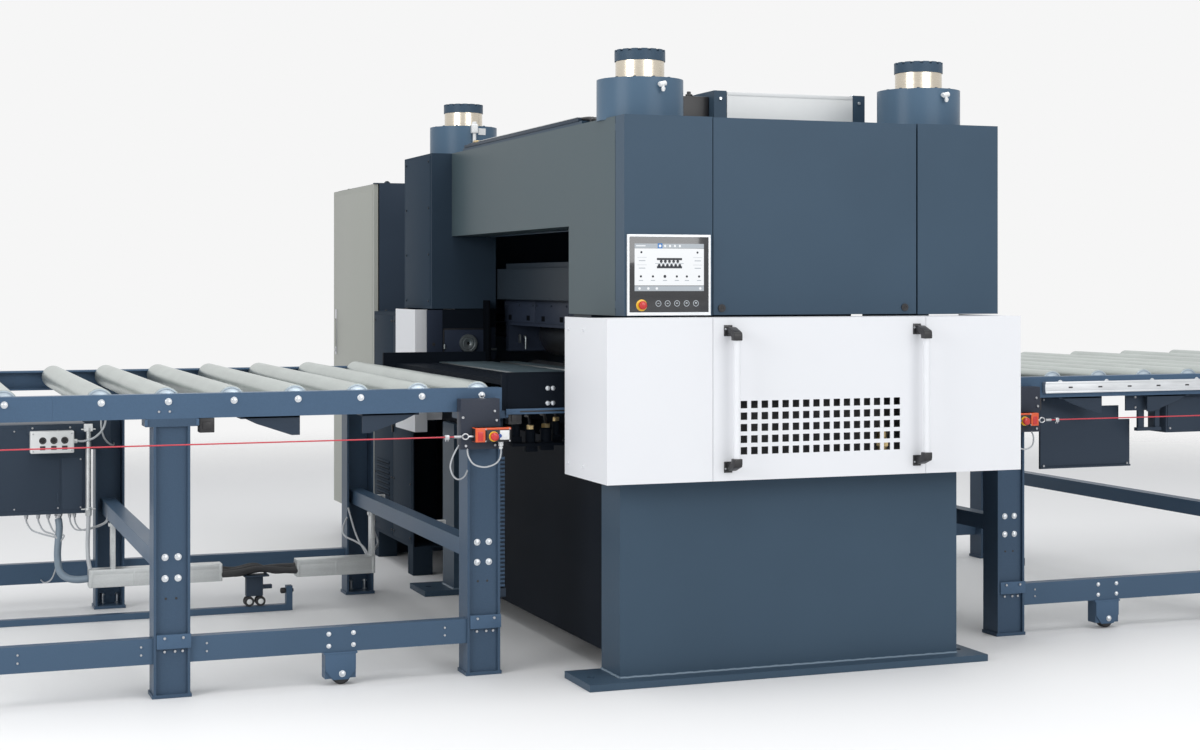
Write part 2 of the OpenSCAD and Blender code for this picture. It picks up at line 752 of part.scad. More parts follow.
module table_legs() color(slate) placed()
    for (x = leg_pairs, s = [-1, 1]) leg(x, s);

rail_t = 50;
rail_in = 12;
wheel_box = [125, 60, 106];
wheel_at = 594;
floor_rail_y = [2185, 2225];
floor_rail_h = 30;
buffer_past = 835;
buffer_x = infeed_legs[1] + buffer_past;

// A lower rail between two legs, on the near or the far side
module low_rail(x, side) {
    y = side > 0 ? [far_y - rail_in - rail_t, far_y - rail_in] : [near_y + rail_in, near_y + rail_in + rail_t];
    span(x, y, [rail_z, rail_z + rail_h]);
}

module table_rails() color(slate) placed() {
    for (s = [-1, 1]) {
        low_rail([in_x0 - seam - stub_l, infeed_legs[1] - leg_w / 2], s);
        low_rail([infeed_legs[1] + leg_w / 2, infeed_legs[0] - leg_w / 2], s);
        low_rail([outfeed_legs[0] + leg_w / 2, outfeed_legs[1] - leg_w / 2], s);
    }
    for (x = leg_pairs)
        span([x - tie_h / 2, x + tie_h / 2],
            [near_y + web_set + leg_sheet, far_y - web_set - leg_sheet], [tie_z, tie_z + tie_h]);
    for (x = [infeed_legs[0] - wheel_at, outfeed_legs[0] + wheel_at - leg_w / 2])
        translate([x - wheel_box[0] / 2, near_y + rail_in, rail_z - wheel_box[2]]) cube(wheel_box);
    span([in_x0 - seam - stub_l, buffer_x], floor_rail_y, [0, floor_rail_h]);
    span([buffer_x - floor_rail_h, buffer_x], floor_rail_y, [floor_rail_h, 4 * floor_rail_h]);
}

bolt_r = 12;
bolt_h = 9;

// A bolt head on an outer face
module head(x, z, side) {
    y = side > 0 ? [far_y + face, far_y + face + bolt_h] : [near_y - face - bolt_h, near_y - face];
    translate([x, 0, z]) bar_y(bolt_r, y);
}

leg_bolt_x = 25;
leg_bolt_z = [0, 82];

// A bolt on the recessed web of a leg
module web_bolt(x, z, side) {
    y = side > 0 ? [far_y - web_set, far_y - web_set + bolt_h] : [near_y + web_set - bolt_h, near_y + web_set];
    translate([x, 0, z]) bar_y(bolt_r, y);
}

module table_bolts() color(zinc) placed()
    for (s = [-1, 1]) {
        for (x = concat(infeed_x, outfeed_x, wide_x, [stub_x])) head(x, axle_z, s);
        for (x = leg_pairs, dx = [-leg_bolt_x, leg_bolt_x], dz = leg_bolt_z)
            web_bolt(x + dx, tie_z - seam + dz, s);
    }

bracket_w = 164;
bracket_h = 204;
bracket_z = 930;
bracket_y = 300;
switch_w = 150;
switch_off = 38;
switch_h = 58;
switch_d = 60;
switch_z = 962;
wire_z = 985;
wire_r = 3;
in_bracket_x = entry_x - bracket_w - 28;
out_bracket_x = exit_x + 28;
button_r = 17;
button_out = 24;

// The bracket and the pull wire switch at one table, dir is the way to the wire
module stop_switch(x0, dir) {
    cx = x0 + bracket_w / 2;
    sx = cx - dir * switch_off;
    difference() {
        union() {
            span([x0, x0 + bracket_w], [bracket_y, bracket_y + sheet], [bracket_z, bracket_z + bracket_h]);
            for (x = [x0, x0 + bracket_w - sheet])
                span([x, x + sheet], [bracket_y + sheet, near_y - face], [bracket_z, bracket_z + bracket_h]);
            span([sx - switch_w / 2, sx + switch_w / 2], [bracket_y - switch_d, bracket_y],
                [switch_z, switch_z + switch_h]);
        }
        translate([sx, 0, wire_z]) bar_y(stop_stem + run_fit, [bracket_y - switch_d - over, bracket_y - seam]);
    }
}

module stop_button(x0, dir) color("red") placed()
    translate([x0 + bracket_w / 2 - dir * switch_off, bracket_y - switch_d, wire_z]) union() {
        bar_y(stop_stem, [-button_out + stop_stem, switch_d - 3 * seam]);
        bar_y(button_r, [-button_out, -button_out + stop_stem + seam]);
    }

module stop_switches() color("orange") placed() {
    stop_switch(in_bracket_x, -1);
    stop_switch(out_bracket_x, 1);
}

module stop_button_in() stop_button(in_bracket_x, -1);
module stop_button_out() stop_button(out_bracket_x, 1);

eye_len = 40;

// A taut wire along one table, from the switch to its anchor at the far end
module pull_wire(x0, dir, end_x) {
    sx = x0 + bracket_w / 2 - dir * switch_off + dir * (switch_w / 2 + face);
    y = bracket_y - switch_d / 2;
    translate([0, y, wire_z]) {
        bar_x(wire_r, dir > 0 ? [sx, end_x] : [end_x, sx]);
        bar_x(2 * wire_r, dir > 0 ? [sx, sx + eye_len] : [sx - eye_len, sx]);
        bar_x(2 * wire_r, dir > 0 ? [end_x - eye_len, end_x] : [end_x, end_x + eye_len]);
    }
    span(dir > 0 ? [end_x, end_x + sheet] : [end_x - sheet, end_x],
        [y - switch_d / 4, near_y - face], [wire_z - switch_h / 2, beam_z + table_wall]);
}

module pull_wires() color("red") placed() {
    pull_wire(in_bracket_x, -1, in_x0 - stub_l + sheet);
    pull_wire(out_bracket_x, 1, ext_x0 + extension_l - 2 * sheet);
}

lead_r = 3.5;
lead_loop = 36;

// A grey lead that loops from the switch back to the leg
module lead(x0, dir) {
    sx = x0 + bracket_w / 2 - dir * (switch_off + switch_w / 4);
    translate([sx + dir * lead_loop, bracket_y - switch_d / 2, switch_z]) rotate([90, 0, 0])
        rotate([0, 0, 180]) rotate_extrude(angle = 180) translate([lead_loop, 0]) circle(r = lead_r);
}

module stop_leads() color("silver") placed() {
    lead(in_bracket_x, -1);
    lead(out_bracket_x, 1);
}

guide_t = 20;
guide_z = [1075, 1235];
far_guide_y = 2450;
far_guide_z = [1160, 1248];
guide_in = 200;
guide_foot = 100;
cheek_x = -50;
slat_w = 150;
slat_x0 = entry_x + 90;
slat_z = [pass_z - 30, pass_z - 8];

// A near and a far guide plate, each with its foot on the bed
module guide(x, foot) for (y = [[near_y, guide_z], [far_guide_y, far_guide_z]]) union() {
    span(x, [y[0], y[0] + guide_t], y[1]);
    span([foot, foot + guide_foot], [y[0], y[0] + guide_t], [bed_top, y[1][1]]);
}

module side_guides() color(slate_dark) placed() {
    guide([infeed_legs[0] + head_w / 2, guide_in], guide_in - guide_foot);
    guide([housing_l - guide_in, outfeed_legs[0] - head_w / 2], housing_l - guide_in);
    for (i = [0:1]) translate([i * (slat_w + guide_t), 0, 0])
        span([slat_x0, slat_x0 + slat_w], [near_y + guide_t + face, far_guide_y - face], slat_z);
    span([cheek_x, post_x0 + post_l], [rear_y, post_rear_y], [pass_z + seam, guard_top]);
}

duct_past = 138;
duct_short = 15;
gap_off = 488;
gap_l = 362;
duct_x = [infeed_legs[1] - duct_past, infeed_legs[0] - duct_short];
duct_gap = [infeed_legs[1] + gap_off, infeed_legs[1] + gap_off + gap_l];
duct_z = [165, 250];
duct_y = [2150, 2230];
hose_z = (duct_z[0] + duct_z[1]) / 2;
hose_r = 38;
box_off = 135;
box_l = 570;
box_x = [infeed_legs[1] - box_off - box_l, infeed_legs[1] - box_off];
box_d = 200;
box_y1 = far_y - leg_d;
box_y0 = box_y1 - box_d;
box_z = [500, 930];
control_off = 310;
control_l = 200;
control_x = [box_x[0] + control_off, box_x[0] + control_off + control_l];
control_d = 70;
control_z = [797, 901];
hanger_w = 20;
carriage_off = 107;
carriage_l = 120;
carriage_x = [duct_gap[0] + carriage_off, duct_gap[0] + carriage_off + carriage_l];

module table_services() color(slate_dark) placed() {
    span([duct_x[0], duct_gap[0]], duct_y, duct_z);
    span([duct_gap[1], duct_x[1]], duct_y, duct_z);
    translate([0, (duct_y[0] + duct_y[1]) / 2, hose_z]) bar_x(hose_r, duct_gap);
    for (x = infeed_legs)
        span([x - tie_h / 2, x - tie_h / 2 + hanger_w], duct_y, [duct_z[1], tie_z]);
    span(carriage_x, duct_y, [floor_rail_h + face, hose_z]);
    span(box_x, [box_y0, box_y1], box_z);
    span([box_x[1], infeed_legs[1]], [box_y1 - hanger_w, box_y1], [box_z[1] - leg_w, box_z[1]]);
    span(control_x, [box_y0 - control_d, box_y0], control_z);
}

base_plates();
pedestals();
bed();
side_frames();
lift_cylinders();
front_housing();
top_beam();
rear_housing();
front_covers();
fixed_guards();
roof_unit();
lower_cassette();
drive_train();
drive_housing();
cabinet();
cabinet_door();
hmi_panel();
hmi_stop();
upper_carrier();
piston_rods();
rod_nuts();
upper_cassette();
service_flap();
lock_left();
lock_right();
centre_guard();
guard_handles();
lower_roll_1();
lower_roll_2();
lower_roll_3();
lower_roll_4();
upper_roll_1();
upper_roll_2();
upper_roll_3();
infeed_roller_1();
infeed_roller_2();
infeed_roller_3();
infeed_roller_4();
infeed_roller_5();
infeed_roller_6();
infeed_roller_7();
outfeed_roller_1();
outfeed_roller_2();
outfeed_roller_3();
outfeed_roller_4();
outfeed_roller_5();
outfeed_roller_6();
outfeed_roller_7();
extension_rollers();
table_beams();
table_legs();
table_rails();
table_bolts();
stop_switches();
stop_button_in();
stop_button_out();
pull_wires();
stop_leads();
side_guides();
table_services();
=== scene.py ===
import math
from itertools import product
import bmesh
import bpy
from mathutils import Matrix, Vector


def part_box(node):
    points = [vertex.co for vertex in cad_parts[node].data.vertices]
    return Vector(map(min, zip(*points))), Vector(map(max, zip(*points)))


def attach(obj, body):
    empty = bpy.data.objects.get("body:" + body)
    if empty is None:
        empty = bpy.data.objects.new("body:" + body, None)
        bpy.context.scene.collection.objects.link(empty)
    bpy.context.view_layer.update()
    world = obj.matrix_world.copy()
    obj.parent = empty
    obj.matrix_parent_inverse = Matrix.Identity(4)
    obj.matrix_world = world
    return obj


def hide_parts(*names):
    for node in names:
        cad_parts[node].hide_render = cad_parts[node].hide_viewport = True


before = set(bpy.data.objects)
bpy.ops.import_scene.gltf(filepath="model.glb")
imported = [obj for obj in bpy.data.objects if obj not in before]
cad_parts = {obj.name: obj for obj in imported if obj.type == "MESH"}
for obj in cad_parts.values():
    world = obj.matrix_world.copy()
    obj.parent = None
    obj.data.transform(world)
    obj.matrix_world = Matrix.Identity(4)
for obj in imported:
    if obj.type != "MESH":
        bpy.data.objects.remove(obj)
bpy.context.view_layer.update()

# Pieces are drawn in millimetres from the infeed face, the front covers and the floor. The camera and lamps
# stand in metres from the same corner
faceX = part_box("front_housing")[0][0]
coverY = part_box("front_covers")[0][1]
toRight, toBack, up = (1, 0, 0), (0, 1, 0), (0, 0, 1)
toLeft, toFront, down = (-1, 0, 0), (0, -1, 0), (0, 0, -1)
kits = []


def at(x, y, z):
    return Vector((x + faceX, y + coverY, z))


def local(node):
    low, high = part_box(node)
    return [(Vector(corner) - at(0, 0, 0)) * 1000 for corner in (low, high)]


# The kits of a stage become its pieces
def stage(text):
    while kits:
        kits.pop(0).make()
    print("stage:", text)


def rowOf(first, last, count):
    return [first + (last - first) * i / (count - 1) for i in range(count)]


# A socket that can be used in sums
class Value:
    def __init__(self, graph, socket):
        self.graph = graph
        self.socket = socket

    def math(self, kind, first, second):
        return self.graph.add("ShaderNodeMath", {0: first, 1: second}, operation=kind)

    def __add__(self, other):
        return self.math("ADD", self, other)

    def __radd__(self, other):
        return self.math("ADD", other, self)

    def __mul__(self, other):
        return self.math("MULTIPLY", self, other)

    def __rmul__(self, other):
        return self.math("MULTIPLY", other, self)


# The nodes of one material
class Graph:
    def __init__(self, name, **constants):
        self.material = bpy.data.materials.new(name)
        self.material.use_nodes = True
        self.tree = self.material.node_tree
        self.shader = self.tree.nodes["Principled BSDF"]
        for key, value in constants.items():
            self.shader.inputs[key.replace("_", " ")].default_value = value

    def add(self, kind, values=None, output=0, **settings):
        node = self.tree.nodes.new(kind)
        for key, value in settings.items():
            setattr(node, key, value)
        for key, value in (values or {}).items():
            self.put(node.inputs[key], value)
        return Value(self, node.outputs[output])

    def put(self, socket, value):
        if isinstance(value, Value):
            self.tree.links.new(value.socket, socket)
        else:
            socket.default_value = value

    def feed(self, **values):
        for key, value in values.items():
            self.put(self.shader.inputs[key.replace("_", " ")], value)
        return self.material

    def place(self, stretch=(1, 1, 1)):
        spot = self.add("ShaderNodeTexCoord", output=3)
        return self.add("ShaderNodeMapping", {"Vector": spot, "Scale": stretch})

    def noise(self, scale, stretch=(1, 1, 1), detail=3.0, rough=0.5):
        values = {"Vector": self.place(stretch), "Scale": scale, "Detail": detail, "Roughness": rough}
        return self.add("ShaderNodeTexNoise", values)

    def blend(self, factor, first, second):
        values = {"Factor": factor, 6: (*first, 1), 7: (*second, 1)}
        return self.add("ShaderNodeMix", values, output=2, data_type="RGBA")

    def bump(self, height, depth, strength=1.0):
        return self.add("ShaderNodeBump", {"Height": height, "Distance": depth, "Strength": strength})


def shade(color, share):
    return tuple(min(1.0, part * share) for part in color)


# Powder coat: fine orange peel, a little cloudiness, and a haze where the coat is matt
def powderCoat(name, color, rough=0.42, grain=420, depth=0.00035, cloud=0.07, coat=0.0, shine=0.11, haze=0.03,
               speckle=0.25):
    graph = Graph(name, Coat_Roughness=0.25, Specular_IOR_Level=shine)
    cloudy = graph.noise(1.7, detail=4.0)
    speck = graph.noise(grain, detail=2.0)
    fine = graph.noise(grain * 3.1, detail=1.0)
    tone = cloudy * (1 - speckle) + speck * speckle
    peel = speck * 0.7 + fine * 0.3
    return graph.feed(
        Base_Color=graph.blend(tone, shade(color, 1 - 2.2 * cloud), shade(color, 1 + 2.2 * cloud)),
        Roughness=cloudy * 0.16 + (rough - 0.08), Coat_Weight=cloudy * haze + coat,
        Normal=graph.bump(peel, depth, 0.55))


# Darker copies of paint, nearly without shine, for parts in shade: the colours given to it hold painted shade
def dullPaint(name, color, rough=0.5):
    return powderCoat(name, color, rough, shine=0.01, haze=0.002)


# The coarser, speckled coat of the tables
def framePaint(name, color, rough=0.38, cloud=0.12, coat=0.0):
    return powderCoat(name, color, rough, 300, cloud=cloud, coat=coat, speckle=0.6)


# Zinc coat on the rollers and ducts: long streaks, spangle and dull patches
def zincCoat(name, color, along, rough=0.34):
    graph = Graph(name, Metallic=0.85)
    streak = graph.noise(34, along, detail=6.0, rough=0.65)
    patch = graph.noise(5, detail=3.0)
    spangle = graph.add("ShaderNodeTexVoronoi", {"Vector": graph.place(), "Scale": 160.0})
    tone = streak * 0.6 + patch * 0.3 + spangle * 0.12
    return graph.feed(Base_Color=graph.blend(tone, shade(color, 0.62), shade(color, 1.3)),
        Roughness=streak * 0.25 + (rough - 0.1), Normal=graph.bump(streak, 0.0006, 0.35))


# Turned or ground steel: rings or lines of the tool across a plain tone
def groundSteel(name, color, lines=(1, 1, 1), rough=0.3, scale=300, metallic=1.0):
    graph = Graph(name, Metallic=metallic)
    groove = graph.noise(scale, lines, detail=2.0)
    patch = graph.noise(9, detail=3.0)
    return graph.feed(
        Base_Color=graph.blend(groove * 0.5 + patch * 0.5, shade(color, 0.72), shade(color, 1.18)),
        Roughness=groove * 0.16 + patch * 0.1 + (rough - 0.1), Normal=graph.bump(groove, 0.0002, 0.3))


# Moulded plastic or rubber with a fine eroded surface
def moulded(name, color, rough=0.4, grain=900, coat=0.0, cloud=0.05):
    graph = Graph(name, Coat_Roughness=0.15)
    speck = graph.noise(grain, detail=2.0)
    patch = graph.noise(14, detail=3.0)
    return graph.feed(Base_Color=graph.blend(patch, shade(color, 1 - 2 * cloud), shade(color, 1 + 2 * cloud)),
        Roughness=speck * 0.14 + patch * 0.08 + (rough - 0.1), Coat_Weight=patch * 0.05 + coat,
        Normal=graph.bump(speck, 0.00015, 0.4))


# A lit display colour that doesn't depend on the lamps
def lit(name, color, strength=0.8):
    graph = Graph(name, Roughness=0.2, Emission_Strength=strength)
    sheen = graph.noise(6, detail=1.0)
    tint = graph.blend(sheen, shade(color, 0.97), shade(color, 1.02))
    base = graph.blend(sheen, shade(color, 0.2), shade(color, 0.22))
    return graph.feed(Base_Color=base, Emission_Color=tint)


def darkGlass(name, color, rough=0.08):
    graph = Graph(name, Coat_Weight=0.6, Coat_Roughness=0.03)
    smear = graph.noise(12, (1, 1, 3), detail=5.0)
    return graph.feed(Base_Color=graph.blend(smear, shade(color, 0.8), shade(color, 1.25)),
        Roughness=smear * 0.1 + (rough - 0.03))


# Colours are written as they should render
finish = {
    "slate": powderCoat("slate paint", (0.048, 0.08, 0.118)),
    "grey": powderCoat("grey paint", (0.066, 0.094, 0.106), rough=0.38),
    "dark": powderCoat("dark paint", (0.036, 0.051, 0.074), rough=0.4),
    "deepSlate": dullPaint("shaded slate paint", (0.03, 0.047, 0.069)),
    # A darker copy of the slate for the drive housing: painted shade
    "driveBlue": dullPaint("shaded drive housing paint", (0.024, 0.036, 0.052)),
    # A lighter copy of the slate for the lift cylinders: painted light
    "cylinder": powderCoat("cylinder paint with painted light", (0.078, 0.132, 0.195), rough=0.34, coat=0.05),
    "cheek": powderCoat("cheek paint", (0.024, 0.032, 0.052), rough=0.42, shine=0.1),
    "deep": powderCoat("deep slate paint", (0.026, 0.036, 0.048), rough=0.42, shine=0.1),
    # Near-black paint for vents, slots, holes and gaps: painted shade
    "pit": dullPaint("painted recess shade", (0.004, 0.005, 0.007), 0.6),
    "night": powderCoat("night paint", (0.008, 0.0108, 0.016), rough=0.55, shine=0.02),
    "cap": groundSteel("roller cap zinc", (0.52, 0.6, 0.66), rough=0.36, scale=200, metallic=0.7),
    "dimSteel": groundSteel("dim steel", (0.3, 0.33, 0.34), rough=0.36),
    "entry": groundSteel("entry steel", (0.2, 0.28, 0.32), (0.1, 1, 1), rough=0.34, scale=90, metallic=0.7),
    "frameBlue": framePaint("frame blue paint", (0.064, 0.112, 0.182), coat=0.06),
    # Darker copies of the frame blue for the legs and rails: painted shade
    "shadedLegBlue": framePaint("shaded leg blue paint", (0.05, 0.084, 0.133), cloud=0.14, coat=0.04),
    "shadedRailBlue": framePaint("shaded rail blue paint", (0.059, 0.101, 0.16), coat=0.05),
    # A darker copy of the frame blue near the machine: painted shade
    "plateBlue": framePaint("shaded head plate paint", (0.036, 0.042, 0.058), rough=0.4),
    # A lighter copy of the slate for the weld beads: painted highlight
    "weldPaint": powderCoat("weld paint with painted highlight", (0.17, 0.23, 0.29), rough=0.3, coat=0.15),
    "white": powderCoat("white paint", (0.74, 0.75, 0.775), rough=0.4, cloud=0.012, depth=0.0002),
    "door": powderCoat("door paint", (0.37, 0.38, 0.345), rough=0.45, cloud=0.03),
    "roller": zincCoat("zinc coated roller", (0.5, 0.54, 0.52), (1, 0.06, 1)),
    "duct": zincCoat("zinc coated duct", (0.6, 0.62, 0.62), (0.06, 1, 1), rough=0.42),
    "bolt": groundSteel("bright zinc", (0.66, 0.69, 0.72), scale=600),
    "rod": groundSteel("ground rod", (0.66, 0.6, 0.5), (1, 1, 40), rough=0.24, scale=30),
    "roll": groundSteel("ground roll", (0.4, 0.41, 0.43), (1, 30, 1), rough=0.28, scale=14),
    "steel": groundSteel("turned steel", (0.52, 0.53, 0.55)),
    "brass": groundSteel("brass", (0.72, 0.55, 0.28), rough=0.28, scale=400),
    "alu": groundSteel("anodised aluminium", (0.68, 0.7, 0.72), (0.1, 1, 1), rough=0.36, scale=120,
                       metallic=0.8), "black": moulded("black plastic", (0.013, 0.013, 0.015), rough=0.42),
    "soft": moulded("black rubber", (0.02, 0.02, 0.022), rough=0.6, cloud=0.1),
    "red": moulded("red plastic", (0.52, 0.018, 0.016), rough=0.3, coat=0.3),
    "yellow": moulded("yellow plastic", (0.86, 0.5, 0.02), rough=0.35, coat=0.2),
    "orange": moulded("orange paint", (0.66, 0.09, 0.02), rough=0.38, coat=0.1),
    "blue": moulded("blue plastic", (0.02, 0.08, 0.32), rough=0.35),
    "whitePlastic": moulded("white plastic", (0.74, 0.75, 0.75), rough=0.35, cloud=0.02),
    "cable": moulded("grey cable", (0.42, 0.44, 0.46), rough=0.45),
    "loom": moulded("cable loom", (0.16, 0.21, 0.26), rough=0.5, cloud=0.08),
    "conduit": moulded("beige conduit", (0.46, 0.44, 0.39), rough=0.4, cloud=0.04),
    "wire": moulded("red wire", (0.5, 0.03, 0.05), rough=0.38, coat=0.15),
    "glass": darkGlass("panel glass", (0.014, 0.015, 0.018)),
    "screen": lit("screen white", (0.86, 0.88, 0.9)),
    "screenGrey": lit("screen grey", (0.42, 0.46, 0.5)),
    "screenDark": lit("screen dark", (0.03, 0.035, 0.045)),
    "screenBlue": lit("screen blue", (0.05, 0.2, 0.5)),
}
stage("materials")

# The camera stands at eye height at the infeed end of the operator side
camera = {"spot": (-2.774, -7.1576, 1.6), "turn": -20.4565, "lens": 57.496, "rise": -0.07573}

lens = bpy.data.cameras.new("camera")
lens.sensor_width = 36
lens.lens = camera["lens"]
lens.shift_y = camera["rise"]
lens.clip_end = 200
eye = bpy.data.objects.new("camera", lens)
eye.location = at(*camera["spot"])
eye.rotation_euler = (math.radians(90), 0, math.radians(camera["turn"]))
bpy.context.collection.objects.link(eye)
bpy.context.scene.camera = eye
bpy.context.scene.view_settings.view_transform = "Standard"

light = {"world": 0.62, "backdrop": 0.922, "floor": 0.83, "floorRadius": 30.0, "fade": (7.0, 13.0)}

# Where each lamp stands, where it points, its size and its watts
lamps = {"lamp above": ((1.0, 0.5, 7.5), (0.9, 1.0, 0.0), (9.0, 7.0), 380),
         "lamp front": ((3.0, -8.5, 4.2), (0.8, 0.5, 1.1), (6.0, 3.5), 262),
         "lamp infeed": ((-7.5, -2.5, 3.6), (0.0, 1.0, 1.2), (4.5, 3.0), 255)}


def makeWorld():
    world = bpy.data.worlds.new("studio")
    bpy.context.scene.world = world
    world.use_nodes = True
    nodes, links = world.node_tree.nodes, world.node_tree.links
    soft = nodes["Background"]
    soft.inputs["Color"].default_value = (0.95, 0.97, 1.0, 1)
    soft.inputs["Strength"].default_value = light["world"]
    seen = nodes.new("ShaderNodeBackground")
    seen.inputs["Color"].default_value = (light["backdrop"],) * 3 + (1,)
    path = nodes.new("ShaderNodeLightPath")
    mix = nodes.new("ShaderNodeMixShader")
    shown = path.outputs["Is Camera Ray"]
    for ray in ("Is Glossy Ray", "Is Transmission Ray"):
        most = nodes.new("ShaderNodeMath")
        most.operation = "MAXIMUM"
        links.new(shown, most.inputs[0])
        links.new(path.outputs[ray], most.inputs[1])
        shown = most.outputs[0]
    links.new(shown, mix.inputs[0])
    links.new(soft.outputs[0], mix.inputs[1])
    links.new(seen.outputs[0], mix.inputs[2])
    links.new(mix.outputs[0], nodes["World Output"].inputs["Surface"])


def makeFloor():
    mesh = bpy.data.meshes.new("floor")
    reach = light["floorRadius"]
    rim = [(reach * math.cos(a), reach * math.sin(a), 0) for a in [2 * math.pi * i / 64 for i in range(64)]]
    mesh.from_pydata(rim, [], [list(range(64))])
    floor = bpy.data.objects.new("floor", mesh)
    floor.location = (1.2, 0, -0.0005)
    bpy.context.collection.objects.link(floor)
    graph = Graph("floor", Roughness=0.55, Specular_IOR_Level=0.15)
    spot = graph.place()
    far = graph.add("ShaderNodeVectorMath", {0: spot}, output=1, operation="LENGTH")
    near, gone = light["fade"]
    fade = graph.add("ShaderNodeMapRange", {"Value": far, "From Min": near, "From Max": gone,
                                            "To Min": 1.0, "To Max": 0.0}, interpolation_type="SMOOTHSTEP")
    grain = graph.noise(0.6, detail=2.0)
    tone = light["floor"]
    floor.data.materials.append(graph.feed(
        Base_Color=graph.blend(grain, (tone * 0.99,) * 3, (tone, tone, tone)), Alpha=fade))


def makeLamp(name, spot, target, size, watts):
    data = bpy.data.lights.new(name, "AREA")
    data.shape = "RECTANGLE"
    data.size, data.size_y = size
    data.energy = watts
    lamp = bpy.data.objects.new(name, data)
    lamp.location = at(*spot)
    lamp.rotation_euler = (at(*target) - at(*spot)).to_track_quat("-Z", "Y").to_euler()
    bpy.context.collection.objects.link(lamp)


makeWorld()
makeFloor()
for name, (spot, target, size, watts) in lamps.items():
    makeLamp(name, spot, target, size, watts)
stage("light and camera")


# The slot that goes with a finish, where a piece names no other
usualSlots = {
    "black_plastic": "black soft pit glass blue screenBlue screenDark", "cable_grey": "cable loom screenGrey",
    "bolt_zinc": "bolt", "zinc_steel": "steel duct dimSteel entry cap", "rod_metal": "brass",
    "dark_paint": "dark deep night cheek driveBlue",
    "slate_paint": "slate frameBlue deepSlate plateBlue weldPaint",
    "white_paint": "white whitePlastic screen", "red_plastic": "red wire", "orange_plastic": "orange yellow",
    "door_paint": "door", "grey_paint": "conduit"}
slotOf = {coat: slot for slot, names in usualSlots.items() for coat in names.split()}


def bevel(part, width, steps=2):
    bmesh.ops.bevel(part, geom=part.edges[:], offset=width, segments=steps, profile=0.6, affect="EDGES",
                    clamp_overlap=True)


